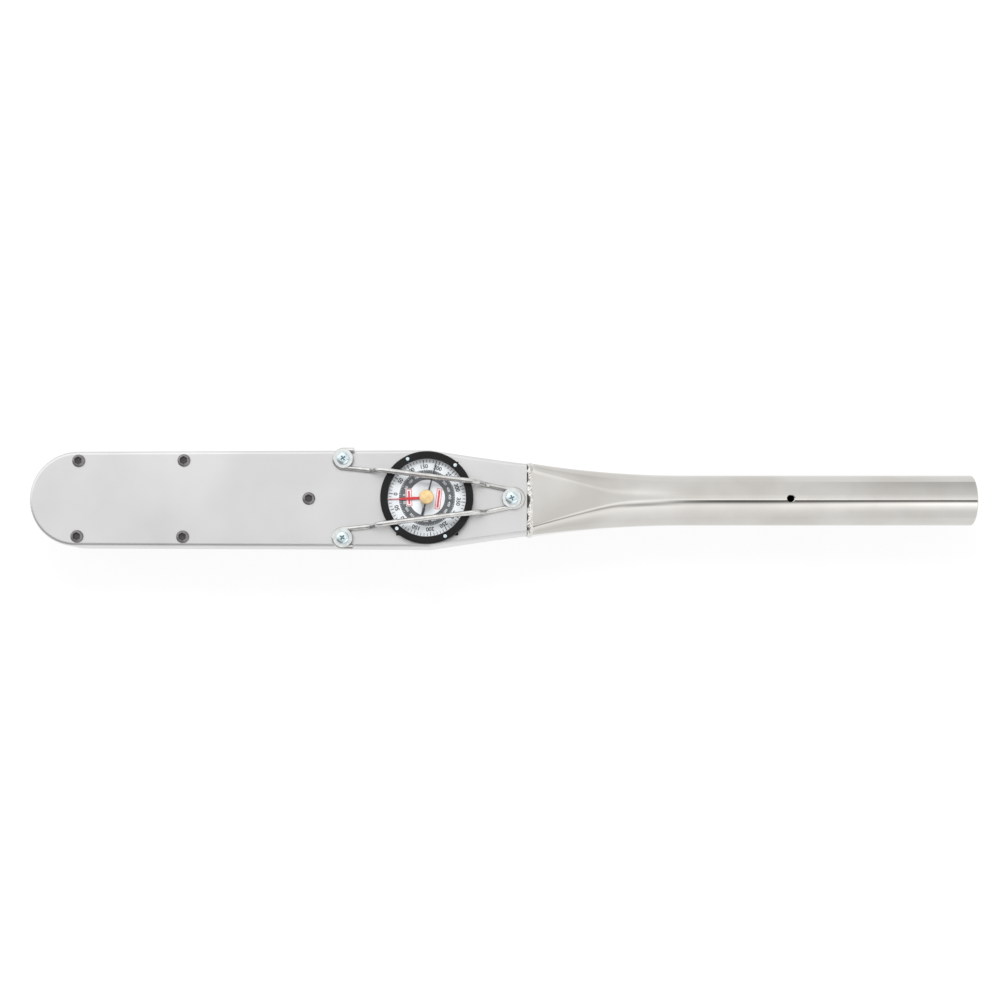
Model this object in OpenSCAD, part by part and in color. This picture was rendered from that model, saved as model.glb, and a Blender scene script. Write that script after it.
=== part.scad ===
// Dial torque wrench: a square drive turns a beam that bends, and an arm geared to a dial shows by how much.
// All sizes are in millimetres. The origin is the centre of the drive square's end face, +X runs from
// the drive to the handle, and +Z runs out of the dial.

/* [Drive] */
// Width of the drive square across its flats
drive_af = 19.05; // [12.7:0.05:23]
// Length of the drive square
drive_len = 22; // [18:0.5:30]
// Diameter of the detent ball
ball_d = 5.8; // [4:0.1:7]

/* [Housing] */
// Radius of the rounded head end
head_r = 35.6; // [34.5:0.1:45]
// Half width of the housing beside the dial
belly_hw = 36.7; // [36:0.1:46]
// Half width of the housing at its tail
tail_hw = 26.4; // [24:0.1:32]
// Distance from the dial's axis to the tail
tail_l = 74.2; // [68:0.2:110]
// Depth from the back cover's face to the front plate's face
housing_depth = 34; // [34:0.5:46]
// Thickness of the front plate
plate_t = 3; // [2:0.1:3.4]
// Thickness of the side walls
wall_t = 2.5; // [1.5:0.1:3.5]
// Thickness of the back cover
cover_t = 2.5; // [1.5:0.1:2.6]
// Radius of the front plate's edge
edge_r = 2.5; // [1:0.1:4]

/* [Handle] */
// Outer diameter of the handle tube
tube_d = 38.1; // [32:0.1:46]
// Bore of the handle tube
tube_bore = 31.75; // [24:0.05:33]
// Length from the housing's tail to the end of the tube
handle_l = 338; // [250:1:700]
// Length over which the neck changes from flat-sided to round
neck_l = 120; // [60:1:160]
// Distance from the end of the tube to its lock hole
lock_hole_back = 140; // [60:1:150]
// Diameter of the lock hole
lock_hole_d = 5; // [3:0.1:8]

/* [Dial] */
// Radius of the bezel
bezel_r = 34.6; // [34:0.1:42]
// Width of the bezel's rim around the glass
bezel_rim = 5.5; // [5:0.1:7]
// Thickness of the crystal
crystal_t = 1.4; // [1:0.1:2.5]
// Diameter of the reset knob
knob_d = 10.8; // [7:0.1:16]
// Height of the reset knob
knob_h = 4.8; // [3:0.1:8]

/* [Guard] */
// Diameter of the guard wire
wire_d = 3.9; // [2:0.1:5]
// Height of the raised wire's underside above the bezel
guard_lift = 1.4; // [0.6:0.1:8]
// Distance of the guard's eyes from the housing's long edges
eye_edge = 6.7; // [5.5:0.1:9]

/* [Mechanism] */
// Thickness of the deflection beam, across its bending
beam_t = 10; // [7:0.1:12.5]
// Height of the deflection beam
beam_h = 15.6; // [10:0.1:15.8]
// Distance from the drive axis to the rollers
roller_x = 162; // [140:1:165]
// Thickness of the indicator arm
arm_t = 2.5; // [1.5:0.1:2.8]

/* [Hidden] */
$fn = 72;

// Clearances
fit = 0.05;       // running fit, on the radius
seat = 0.02;      // pressed or threaded seat, on the radius
slip = 0.2;       // loose fit of a block in the shell
swing = 1;        // room beside a piece that swings or turns
cut = 1;          // how far a cutting solid runs past what it cuts

// Gearing: the sector's full circle and the pinion set where the dial's axis is
gear_m = 0.4;
sector_teeth = 1296;
pinion_teeth = 18;
sector_r = gear_m * sector_teeth / 2;
pinion_r = gear_m * pinion_teeth / 2;
pressure = 20;
backlash = 0.06;
dial_x = sector_r + pinion_r;
drive_swing = 2.5;
mesh_teeth = 4;
tooth_deg = 360 / sector_teeth;
sector_half_teeth = ceil(drive_swing / tooth_deg) + mesh_teeth;
sector_rim = 9;

// Lengths along the housing
shell_end = dial_x + tail_l;
belly_x = dial_x + 2;
frame_end = 92;
anchor_x0 = roller_x - 12;
anchor_x1 = roller_x + 24;
beam_x0 = 12;
beam_over = 6;
boss_end = 44;
arm_x0 = 23;
arm_waist = 75;
arm_hw = 5;
tube_end = shell_end + handle_l;

// Heights
collar_h = 2;
z_back = drive_len + collar_h;
z_cover = z_back + cover_t;
z_front = z_back + housing_depth;
z_plate = z_front - plate_t;
z_axis = z_back + housing_depth / 2;
web_t = 4.5;
thrust_t = 0.6;
z_web = z_cover + web_t;
z_hub = z_web + thrust_t;
z_top_web = z_plate - web_t;
z_hub_top = z_top_web - thrust_t;
arm_gap = 3.5;
z_arm = z_cover + arm_gap;
z_arm_top = z_arm + arm_t;
z_beam = z_arm_top + swing;
z_beam_top = z_beam + beam_h;

// Drive shaft
corner_r = drive_af * 0.665;
drive_chamfer = 1.5;
journal_r = corner_r + 2.3;
bush_t = 3;
hub_r = journal_r + 5;
pocket_r = hub_r + swing;
nose_r = 12;
nose_gap = 0.3;
boss_hw = 13;
slot_hw = boss_hw + 3;
beam_pin_r = 2.5;
beam_pin_x = [24, 36];
arm_screw_r = 1.6;
arm_head_r = 1.8 * arm_screw_r;
arm_screw_x = [29, 39];
arm_screw_y = (beam_t / 2 + boss_hw) / 2;
arm_screw_l = 7;
ball_r = ball_d / 2;
ball_out = 1.3;
ball_y = drive_af / 2 - ball_r + ball_out;
ball_bore_l = 12;
spring_wire = 0.6;
spring_turns = 5;
spring_steps = 12;

// Button-head and cover screws
screw_r = 2.5;
button_r = 4.75;
button_h = 2.75;
button_hex = 3.1;
button_l = 12;
screw_edge = 7.2;
head_screws = [1, 80];
anchor_screw_x = roller_x + 12;
cover_screw_r = 2;
cover_head_r = 3.9;
cover_head_h = 1.6;
cover_screw_l = 14;
cover_edge = 9.6;
anchor_inset = 1.5;
cover_nose_x = -27;
cover_screw_x = [40, 85];
anchor_cover_x = anchor_x1 - 8;
cleat_x0 = shell_end - 20;
cleat_l = 16;
cleat_hw = tail_hw - 6;
cleat_h = 14;
cleat_screw_y = 14;

// Anchor rollers
roller_r = 4;
roller_y = beam_t / 2 + roller_r + seat;
anchor_slot_hw = beam_t / 2 + 2;
roller_grip = 4;

// Guard
eye_inset = 0.3;
nut_gap = 0.2;  // between a nut's flat and the side wall
z_wire = z_front + wire_d / 2;
nut_af = 7;
nut_h = 3.2;
eye_x = 200;
eye_wall_y = half_w(eye_x) - wall_t - nut_af / 2 - nut_gap;
eye_y = min(belly_hw - eye_edge - eye_inset, eye_wall_y);
eye_turn_r = 4.6 + wire_d / 2;
eye_tail = 8.3;
eye_steps = 24;
guard_rise_x = dial_x - bezel_r - 7.2;
guard_fall_x = dial_x + bezel_r + 8.6;
guard_rise = 6;
guard_mid_y = 15.8;
guard_slope = 0.1235;
guard_u_x = shell_end - 9.5;
guard_u_r = 4.75 + wire_d / 2;
bend_steps = 5;
bend_r = 3;
wire_sides = 12;
guard_screw_r = 2;
guard_head_r = 4.7;
guard_head_h = 2.6;
cross_w = 0.9;
guard_tail_x = guard_u_x - 1.5;
washer_r = 7.2;
washer_t = 1;
washer_gap = 0.1;

// Dial stack, from the front plate out
mount_t = 1;
mount_size = [46.4, 55.4];
z_case = z_front + mount_t;
case_floor = 1.2;
z_rim_top = z_case + 3.6;
base_wall = 3.3;
case_r = bezel_r - base_wall - 0.4;
case_rim = 1.5;
z_base = z_case + 0.5;
z_ledge = z_rim_top + 0.3;
z_face = z_ledge + 0.7;
face_t = 0.8;
z_glass = z_face + face_t + 2.8;
z_glass_top = z_glass + crystal_t;
lip_t = 0.8;
z_bezel_top = z_glass_top + lip_t;
glass_r = bezel_r - bezel_rim;
counter_r = glass_r + 1.15;
bezel_round = 1.2;
face_hole_r = 2.2;
ring_r = 0.5;
z_ring = z_case + 2.3;
bezel_screw_r = 0.8;
bezel_head_r = 1.3;
bezel_head_h = 0.7;
bezel_slot = 0.4;
bezel_screw_pcr = counter_r + 1.75;
bezel_screw_deg = [48.75, 116.5, 226.5, 295.6];
bezel_screw_l = 6.4;  // ends above the friction ring
case_screw_r = 1.2;
case_screw_pcr = 22;
case_screw_deg = [45, 135, 225, 315];
z_guard = z_bezel_top + guard_lift + wire_d / 2;

// Movement
movement_t = 2;
z_movement = z_arm_top + 4;
movement_r = 20;
pillar_r = 3;
pillar_pcr = 16;
pillar_deg = [90, 210, 330];
pillar_screw_r = 1.5;
pillar_head_r = 2.8;
pillar_screw_l = 10;
post_r = 2.5;
post_dx = 12;
post_dy = 9;
bridge_t = 1.5;
z_bridge = z_arm - bridge_t - 0.7;
arbor_r = 1.5;
pivot_r = 0.8;
pinion_over = 0.4;
arbor_hole_r = 6;
arbor_bush_r = 4;
collet_r = 2.6;
z_spiral = z_movement + movement_t + 2.4;
spiral_h = 1.2;
spiral_turns = 4;
spiral_r = 9;
spiral_t = 0.3;
spiral_steps = 20;
stud_size = [2.4, 3];

// Hands
z_pointer = z_face + face_t + 0.6;
hand_t = 0.4;
pointer_r = glass_r - 0.3;
pointer_knee_r = pointer_r * 0.72;
hand_hw = 1.5;
hand_knee_hw = 1.1;
hand_tip_hw = 0.2;
memory_hw = 1.3;
pointer_deg = 182.5;
pointer_hub_r = 2.6;
pointer_hub_h = 1.1;
z_memory = z_pointer + 1.1;
memory_r = glass_r - 0.8;
memory_tail = 14;
memory_deg = 75.3;
memory_hub_r = 2.4;
memory_hub_h = 0.9;
knob_gap = 0.3;
knob_round = 0.6;

tail_power = 1.1;  // 1 would be a straight tail
// Half width of the housing at a distance x from the drive axis
function half_w(x) =
    x <= 0 ? head_r
    : x < belly_x ? head_r + (belly_hw - head_r) * x / belly_x
    : tail_hw + (belly_hw - tail_hw) * pow(max(0, 1 - (x - belly_x) / (shell_end - belly_x)), tail_power);

// The housing's outline, shrunk all round but at the tail, anticlockwise
side_x = concat([0, belly_x / 2], [for (i = [0 : 10]) belly_x + (shell_end - belly_x) * i / 10]);
head_steps = 36;
function outline(inset, over = 0) = concat(
    [for (x = side_x) [x == shell_end ? x + over : x, inset - half_w(x)]],
    [for (i = [len(side_x) - 1 : -1 : 0]) [
        side_x[i] == shell_end ? side_x[i] + over : side_x[i], half_w(side_x[i]) - inset]],
    [for (i = [1 : head_steps - 1]) (head_r - inset) * [
        cos(90 + 180 * i / head_steps), sin(90 + 180 * i / head_steps)]]
);
function lift(points, z) = [for (p = points) [p[0], p[1], z]];

// A solid skinned over rings that all hold the same number of points
module loft(rings) {
    n = len(rings[0]);
    last = (len(rings) - 1) * n;
    polyhedron(
        points = [for (ring = rings) each ring],
        faces = concat(
            [[for (i = [0 : n - 1]) i]],
            [[for (i = [n - 1 : -1 : 0]) last + i]],
            [for (k = [0 : len(rings) - 2]) for (i = [0 : n - 1]) [
                k * n + i, (k + 1) * n + i, (k + 1) * n + (i + 1) % n, k * n + (i + 1) % n]]
        )
    );
}

// A round wire swept along a path that never runs along the direction pole
function unit(v) = v / norm(v);
function way(path, i) = unit(path[min(i + 1, len(path) - 1)] - path[max(i - 1, 0)]);
function wire_ring(p, t, r, sides, pole) =
    let (across = unit(cross(pole, t)), up = cross(t, across))
    [for (k = [0 : sides - 1]) p + r * (across * cos(360 * k / sides) + up * sin(360 * k / sides))];
module wire(path, r, sides, pole = [0, 0, 1]) {
    loft([for (i = [0 : len(path) - 1]) wire_ring(path[i], way(path, i), r, sides, pole)]);
}

// A corner at b, rounded between the legs to a and c
function bend(a, b, c) =
    let (p = b + unit(a - b) * bend_r, q = b + unit(c - b) * bend_r)
    [for (i = [0 : bend_steps]) let (t = i / bend_steps)
        p * (1 - t) * (1 - t) + b * 2 * t * (1 - t) + q * t * t];

module on_dial() { translate([dial_x, 0, 0]) children(); }
module ring(r_out, r_in, h) {
    difference() {
        cylinder(r = r_out, h = h);
        translate([0, 0, -cut]) cylinder(r = r_in, h = h + 2 * cut);
    }
}
module slab(inset, x0, x1, z0, z1) {
    intersection() {
        translate([0, 0, z0]) linear_extrude(z1 - z0) polygon(outline(inset));
        translate([x0, -2 * belly_hw, z0 - cut]) cube([x1 - x0, 4 * belly_hw, z1 - z0 + 2 * cut]);
    }
}

// Places shared by screws and the holes they go in
module at_buttons() {
    for (x = head_screws) for (side = [-1, 1])
        translate([x, side * (half_w(x) - screw_edge), z_front]) children();
    translate([anchor_screw_x, 0, z_front]) children();
}
module at_cover_screws() {
    translate([cover_nose_x, 0, z_back]) children();
    for (x = cover_screw_x) for (side = [-1, 1])
        translate([x, side * (half_w(x) - cover_edge), z_back]) children();
    for (side = [-1, 1]) {
        translate([anchor_cover_x, side * (half_w(anchor_cover_x) - cover_edge - anchor_inset), z_back])
            children();
        translate([cleat_x0 + cleat_l / 2, side * cleat_screw_y, z_back]) children();
    }
}
module at_guard_screws() {
    for (side = [-1, 1]) translate([eye_x, side * eye_y, z_front]) children();
    translate([guard_tail_x, 0, z_front]) children();
}
module at_pillars() {
    on_dial() for (a = pillar_deg) rotate([0, 0, a]) translate([pillar_pcr, 0, 0]) children();
}
module at_case_screws() {
    on_dial() for (a = case_screw_deg) rotate([0, 0, a]) translate([case_screw_pcr, 0, 0]) children();
}
module at_bezel_screws() {
    on_dial() for (a = bezel_screw_deg) rotate([0, 0, a]) translate([bezel_screw_pcr, 0, 0]) children();
}

// Housing

// A flat blank with a rounded edge on one face: the skin runs past both faces, so that both stay plane
edge_steps = 6;
module rounded_blank(z_flat, z_round, r) {
    up = z_round > z_flat ? 1 : -1;
    edge = [for (i = [0 : edge_steps - 1]) 90 * i / edge_steps];
    last = edge[edge_steps - 1];
    skin = concat(
        [[0, z_flat - up * cut]],
        [for (a = edge) [r * (1 - cos(a)), z_round - up * r * (1 - sin(a))]],
        [[r * (1 + cos(last)), z_round + up * r * (1 - sin(last))]]
    );
    order = up > 0 ? [0 : len(skin) - 1] : [len(skin) - 1 : -1 : 0];
    intersection() {
        translate([0, 0, min(z_flat, z_round)]) linear_extrude(abs(z_round - z_flat)) polygon(outline(-cut));
        loft([for (i = order) lift(outline(skin[i][0]), skin[i][1])]);
    }
}

module front_shell() {
    color([0.84, 0.84, 0.83])
    difference() {
        rounded_blank(z_cover, z_front, edge_r);
        translate([0, 0, z_cover - cut]) linear_extrude(z_plate - z_cover + cut)
            polygon(outline(wall_t, cut));
        at_buttons() translate([0, 0, -plate_t - cut]) cylinder(r = screw_r + fit, h = plate_t + 2 * cut);
        at_guard_screws() translate([0, 0, -plate_t - cut]) {
            cylinder(r = guard_screw_r + seat, h = plate_t + 2 * cut);
        }
        at_pillars() {
            translate([0, 0, z_plate - cut]) cylinder(r = pillar_screw_r + fit, h = plate_t + 2 * cut);
            translate([0, 0, z_front - pillar_head_r + pillar_screw_r])
                cylinder(r1 = pillar_screw_r + fit, r2 = pillar_head_r + fit,
                    h = pillar_head_r - pillar_screw_r + seat);
        }
        at_case_screws() translate([0, 0, z_plate - cut])
            cylinder(r = case_screw_r + seat, h = plate_t + 2 * cut);
        on_dial() translate([0, 0, z_plate - cut]) cylinder(r = arbor_hole_r, h = plate_t + 2 * cut);
    }
}

module back_cover() {
    color([0.80, 0.80, 0.79])
    difference() {
        rounded_blank(z_cover, z_back, cover_t / 2);
        translate([0, 0, z_back - cut]) cylinder(r = journal_r + bush_t + fit, h = cover_t + 2 * cut);
        at_cover_screws() translate([0, 0, -cut]) cylinder(r = cover_screw_r + fit, h = cover_t + 2 * cut);
    }
}

module cover_screws() {
    color([0.25, 0.25, 0.26])
    at_cover_screws() {
        cylinder(r = cover_screw_r, h = cover_screw_l);
        translate([0, 0, -cover_head_h])
        difference() {
            cylinder(r = cover_head_r, h = cover_head_h);
            translate([0, 0, -cut]) cylinder(r = cover_head_r / 2, h = cover_head_h / 2 + cut, $fn = 6);
        }
    }
}

// The neck's section at x: a flat of half width neck_flat on each face, with elliptical corners
neck_hw = tail_hw + 0.5;
neck_hd = housing_depth / 2;
neck_corner = 6.4;
neck_flat = neck_hw - neck_corner;
neck_side_flat = neck_hd - neck_corner;
neck_power = 2;  // 1 would be a straight taper
weld_l = 5.5;
tube_r = tube_d / 2;
tube_wall = (tube_d - tube_bore) / 2;
neck_step = 0.1;  // how far the neck's end lies inside the tube's skin
corner_steps = 9;
neck_steps = 16;
function neck_ring(x, inset) =
    let (
        t = min(1, max(0, (x - shell_end - weld_l) / (neck_l - weld_l))),
        taper = pow(1 - t, neck_power),
        round_r = tube_r - neck_step,
        hw = round_r + (neck_hw - round_r) * taper,
        hd = round_r + (neck_hd - round_r) * taper,
        flat = neck_flat * taper,
        side = neck_side_flat * taper
    )
    [for (q = [0 : 3]) for (i = [0 : corner_steps - 1])
        let (
            a = 90 * q + 90 * i / (corner_steps - (t < 1 ? 1 : 0)),
            sy = (q == 0 || q == 3) ? 1 : -1,
            sz = q < 2 ? 1 : -1
        )
        [x, sy * flat + (hw - flat - inset) * cos(a), z_axis + sz * side + (hd - side - inset) * sin(a)]];
neck_x = concat(
    [shell_end],
    [for (i = [0 : neck_steps]) shell_end + weld_l + (neck_l - weld_l) * i / neck_steps]
);

module handle_tube() {
    joint_x = shell_end + neck_l;
    color([0.78, 0.79, 0.80])
    difference() {
        union() {
            loft([for (x = neck_x) neck_ring(x, 0)]);
            translate([joint_x, 0, z_axis]) rotate([0, 90, 0]) cylinder(r = tube_r, h = tube_end - joint_x);
        }
        loft([for (x = concat([shell_end - cut], neck_x, [joint_x + cut])) neck_ring(x, tube_wall)]);
        translate([joint_x, 0, z_axis]) rotate([0, 90, 0])
            cylinder(r = tube_bore / 2, h = tube_end - joint_x + cut);
        translate([tube_end - lock_hole_back, 0, z_axis]) cylinder(r = lock_hole_d / 2, h = tube_r + cut);
    }
}

weld_crown = 1.1;
weld_margin = 0.06;  // bare share of weld_l at each end
module weld_bead() {
    crown = [for (i = [0 : 6]) [shell_end + weld_l * (weld_margin + (1 - 2 * weld_margin) * i / 6),
        weld_crown * sin(180 * i / 6)]];
    color([0.55, 0.54, 0.53])
    difference() {
        loft([for (c = crown) neck_ring(c[0], -c[1] - seat)]);
        loft([for (x = [shell_end - cut, shell_end + weld_l]) neck_ring(x, -seat)]);
    }
}

module frame_pocket(z0, z1) {
    translate([0, 0, z0]) cylinder(r = pocket_r, h = z1 - z0);
    translate([0, -slot_hw, z0]) cube([frame_end + cut, 2 * slot_hw, z1 - z0]);
}

module head_frame() {
    color([0.45, 0.46, 0.48])
    difference() {
        slab(wall_t + slip, -head_r, frame_end, z_web, z_plate);
        frame_pocket(z_web - cut, z_top_web);
        translate([0, 0, z_top_web - cut]) cylinder(r = nose_r + bush_t + seat, h = web_t + 2 * cut);
        at_buttons() translate([0, 0, -plate_t - button_l]) cylinder(r = screw_r + seat, h = button_l + cut);
        at_cover_screws() cylinder(r = cover_screw_r + seat, h = cover_screw_l + cut);
    }
}

module rear_plate() {
    color([0.45, 0.46, 0.48])
    difference() {
        slab(wall_t + slip, -head_r, frame_end, z_cover, z_web);
        translate([arm_x0 - swing, -slot_hw, z_cover - cut]) cube([frame_end, 2 * slot_hw, web_t + 2 * cut]);
        translate([0, 0, z_cover - cut]) cylinder(r = journal_r + bush_t + seat, h = web_t + 2 * cut);
        at_cover_screws() cylinder(r = cover_screw_r + fit, h = cover_screw_l);
    }
}

module front_bush() {
    color([0.72, 0.53, 0.28]) translate([0, 0, z_top_web]) ring(nose_r + bush_t, nose_r + fit, web_t);
}

module rear_bush() {
    color([0.72, 0.53, 0.28]) translate([0, 0, z_back])
        ring(journal_r + bush_t, journal_r + fit, z_web - z_back);
}

// Radius of the ball whose cap is as wide as r and as high as h, where the cap's edge is left a third high
function dome_r(r, h) = (r * r + pow(h * 2 / 3, 2)) / (2 * h * 2 / 3);
module housing_screws() {
    color([0.28, 0.27, 0.27])
    at_buttons() {
        translate([0, 0, -button_l]) cylinder(r = screw_r, h = button_l);
        difference() {
            rotate_extrude() intersection() {
                translate([0, button_h - dome_r(button_r, button_h)]) circle(r = dome_r(button_r, button_h));
                square([button_r, button_h]);
            }
            translate([0, 0, button_h / 3]) cylinder(r = button_hex / sqrt(3), h = button_h, $fn = 6);
        }
    }
}

module anchor_block() {
    color([0.50, 0.51, 0.53])
    difference() {
        slab(wall_t + slip, anchor_x0, anchor_x1, z_arm_top + swing, z_plate);
        translate([anchor_x0 - cut, -anchor_slot_hw, z_arm_top])
            cube([roller_x + beam_over + swing - anchor_x0 + cut, 2 * anchor_slot_hw,
                z_beam_top + swing / 2 - z_arm_top]);
        for (side = [-1, 1]) translate([roller_x, side * roller_y, z_arm_top])
            cylinder(r = roller_r + seat, h = z_beam_top + roller_grip - z_arm_top);
        at_buttons() translate([0, 0, -button_l - seat]) cylinder(r = screw_r + seat, h = button_l + cut);
        at_cover_screws() cylinder(r = cover_screw_r + seat, h = cover_screw_l + cut);
    }
}

module anchor_rollers() {
    color([0.62, 0.63, 0.65])
    for (side = [-1, 1]) translate([roller_x, side * roller_y, z_beam])
        cylinder(r = roller_r, h = beam_h + roller_grip - seat);
}

module tail_cleat() {
    color([0.50, 0.51, 0.53])
    difference() {
        translate([cleat_x0, -cleat_hw, z_cover]) cube([cleat_l, 2 * cleat_hw, cleat_h]);
        at_cover_screws() cylinder(r = cover_screw_r + seat, h = cover_screw_l + cut);
    }
}

// Guard

function leg_y(x) = guard_mid_y - guard_slope * (x - dial_x);
function guard_half() =
    let (
        eye_end = [eye_x, eye_y - eye_turn_r, z_wire],
        foot = [guard_rise_x, leg_y(guard_rise_x), z_wire],
        crest = [guard_rise_x + guard_rise, leg_y(guard_rise_x + guard_rise), z_guard],
        far_crest = [guard_fall_x - guard_rise, leg_y(guard_fall_x - guard_rise), z_guard],
        far_foot = [guard_fall_x, leg_y(guard_fall_x), z_wire],
        u_start = [guard_u_x - wire_d, guard_u_r, z_wire]
    )
    concat(
        [[eye_x + eye_tail, eye_y + eye_turn_r, z_wire]],
        [for (i = [0 : eye_steps]) let (a = 90 + 180 * i / eye_steps)
            [eye_x + eye_turn_r * cos(a), eye_y + eye_turn_r * sin(a), z_wire]],
        bend(eye_end, foot, crest),
        bend(foot, crest, far_crest),
        bend(crest, far_crest, far_foot),
        bend(far_crest, far_foot, u_start),
        [u_start],
        [for (i = [0 : eye_steps / 2 - 1]) let (a = 90 - 180 * i / eye_steps)
            [guard_u_x + guard_u_r * cos(a), guard_u_r * sin(a), z_wire]]
    );

module guard_wire() {
    half = guard_half();
    other = [for (i = [len(half) - 1 : -1 : 0]) [half[i][0], -half[i][1], half[i][2]]];
    color([0.72, 0.73, 0.75])
    wire(concat(half, [[guard_u_x + guard_u_r, 0, z_wire]], other), wire_d / 2, wire_sides);
}

z_washer = wire_d + washer_gap;
module guard_washers() {
    color([0.70, 0.74, 0.78]) at_guard_screws() translate([0, 0, z_washer])
        ring(washer_r, guard_screw_r + fit, washer_t);
}

module guard_screws() {
    color([0.66, 0.70, 0.76])
    at_guard_screws() {
        translate([0, 0, -plate_t - nut_h])
            cylinder(r = guard_screw_r, h = plate_t + nut_h + z_washer + washer_t);
        translate([0, 0, z_washer + washer_t])
        difference() {
            rotate_extrude() intersection() {
                translate([0, guard_head_h - dome_r(guard_head_r, guard_head_h)])
                    circle(r = dome_r(guard_head_r, guard_head_h));
                square([guard_head_r, guard_head_h]);
            }
            for (a = [45, 135]) rotate([0, 0, a])
                translate([-guard_head_r / 2, -cross_w / 2, guard_head_h / 3])
                    cube([guard_head_r, cross_w, guard_head_h]);
        }
    }
}

module guard_nuts() {
    color([0.60, 0.61, 0.62])
    at_guard_screws() translate([0, 0, -plate_t - nut_h])
    difference() {
        cylinder(r = nut_af / sqrt(3), h = nut_h, $fn = 6);
        translate([0, 0, -cut]) cylinder(r = guard_screw_r + seat, h = nut_h + 2 * cut);
    }
}

// Dial: fixed pieces

module mount_plate() {
    color([0.08, 0.08, 0.08])
    difference() {
        translate([dial_x - mount_size[0] / 2, -mount_size[1] / 2, z_front])
            cube([mount_size[0], mount_size[1], mount_t]);
        on_dial() translate([0, 0, z_front - cut]) cylinder(r = arbor_hole_r, h = mount_t + 2 * cut);
        at_case_screws() translate([0, 0, z_front - cut])
            cylinder(r = case_screw_r + fit, h = mount_t + 2 * cut);
    }
}

module dial_case() {
    color([0.09, 0.09, 0.09])
    difference() {
        on_dial() difference() {
            translate([0, 0, z_case]) cylinder(r = case_r, h = z_rim_top - z_case);
            translate([0, 0, z_case + case_floor]) cylinder(r = case_r - case_rim, h = z_rim_top - z_case);
            translate([0, 0, z_case - cut]) cylinder(r = arbor_bush_r + seat, h = case_floor + 2 * cut);
            translate([0, 0, z_ring]) rotate_extrude() translate([case_r, 0])
                circle(r = ring_r + seat, $fn = 24);
        }
        at_case_screws() translate([0, 0, z_case - cut])
            cylinder(r = case_screw_r + fit, h = case_floor + 2 * cut);
    }
}

module case_screws() {
    color([0.55, 0.56, 0.57])
    at_case_screws() {
        translate([0, 0, z_plate]) cylinder(r = case_screw_r, h = z_case + case_floor - z_plate);
        translate([0, 0, z_case + case_floor]) cylinder(r = 2 * case_screw_r, h = case_screw_r);
    }
}

module friction_ring() {
    color([0.05, 0.05, 0.05]) on_dial() translate([0, 0, z_ring]) rotate_extrude()
        translate([case_r, 0]) circle(r = ring_r, $fn = 24);
}

module arbor_bush() {
    color([0.75, 0.58, 0.30]) on_dial() translate([0, 0, z_front])
        ring(arbor_bush_r, arbor_r + fit, mount_t + case_floor);
}

// Movement

module movement_plate() {
    color([0.76, 0.62, 0.34])
    difference() {
        on_dial() translate([0, 0, z_movement]) cylinder(r = movement_r, h = movement_t);
        on_dial() translate([0, 0, z_movement - cut]) cylinder(r = arbor_r + fit, h = movement_t + 2 * cut);
        at_pillars() translate([0, 0, z_movement - cut])
            cylinder(r = pillar_screw_r + seat, h = movement_t + 2 * cut);
    }
}

module movement_pillars() {
    color([0.70, 0.71, 0.72])
    at_pillars() difference() {
        union() {
            translate([0, 0, z_movement + movement_t])
                cylinder(r = pillar_r, h = z_plate - z_movement - movement_t);
            translate([0, 0, z_movement]) cylinder(r = pillar_screw_r, h = movement_t);
        }
        translate([0, 0, z_front - pillar_screw_l]) cylinder(r = pillar_screw_r + seat, h = pillar_screw_l);
    }
}

module movement_screws() {
    color([0.60, 0.61, 0.62])
    at_pillars() {
        translate([0, 0, z_front - pillar_screw_l]) cylinder(r = pillar_screw_r, h = pillar_screw_l);
        translate([0, 0, z_front - pillar_head_r + pillar_screw_r])
            cylinder(r1 = pillar_screw_r, r2 = pillar_head_r, h = pillar_head_r - pillar_screw_r);
    }
}

module pinion_bridge() {
    color([0.76, 0.62, 0.34])
    on_dial() difference() {
        translate([-2 * pinion_r / 3, -post_dy - 2 * post_r, z_bridge])
            cube([post_dx + 2 * post_r + pinion_r, 2 * post_dy + 4 * post_r, bridge_t]);
        translate([0, 0, z_bridge - cut]) cylinder(r = pivot_r + fit, h = bridge_t + 2 * cut);
    }
}

module bridge_posts() {
    color([0.70, 0.71, 0.72])
    on_dial() for (side = [-1, 1]) translate([post_dx, side * post_dy, z_bridge + bridge_t])
        cylinder(r = post_r, h = z_movement - z_bridge - bridge_t);
}

function spiral(i) = collet_r + spiral_t + (spiral_r - collet_r) * i / (spiral_turns * spiral_steps);
module hairspring() {
    turns = [0 : spiral_turns * spiral_steps];
    inner = [for (i = turns)
        (spiral(i) - spiral_t / 2) * [cos(360 * i / spiral_steps), sin(360 * i / spiral_steps)]];
    outer = [for (i = turns)
        (spiral(i) + spiral_t / 2) * [cos(360 * i / spiral_steps), sin(360 * i / spiral_steps)]];
    color([0.45, 0.50, 0.62])
    on_dial() translate([0, 0, z_spiral]) linear_extrude(spiral_h)
        polygon(concat(outer, [for (i = [len(inner) - 1 : -1 : 0]) inner[i]]));
}

module hairspring_stud() {
    color([0.70, 0.71, 0.72])
    on_dial() translate([spiral_r + 2 * spiral_t, -stud_size[1] / 2, z_movement + movement_t])
        cube([stud_size[0], stud_size[1], z_spiral + spiral_h - z_movement - movement_t]);
}

module hairspring_collet() {
    color([0.76, 0.62, 0.34]) on_dial() translate([0, 0, z_spiral - spiral_h / 2])
        ring(collet_r, arbor_r + seat, 2 * spiral_h);
}

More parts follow.
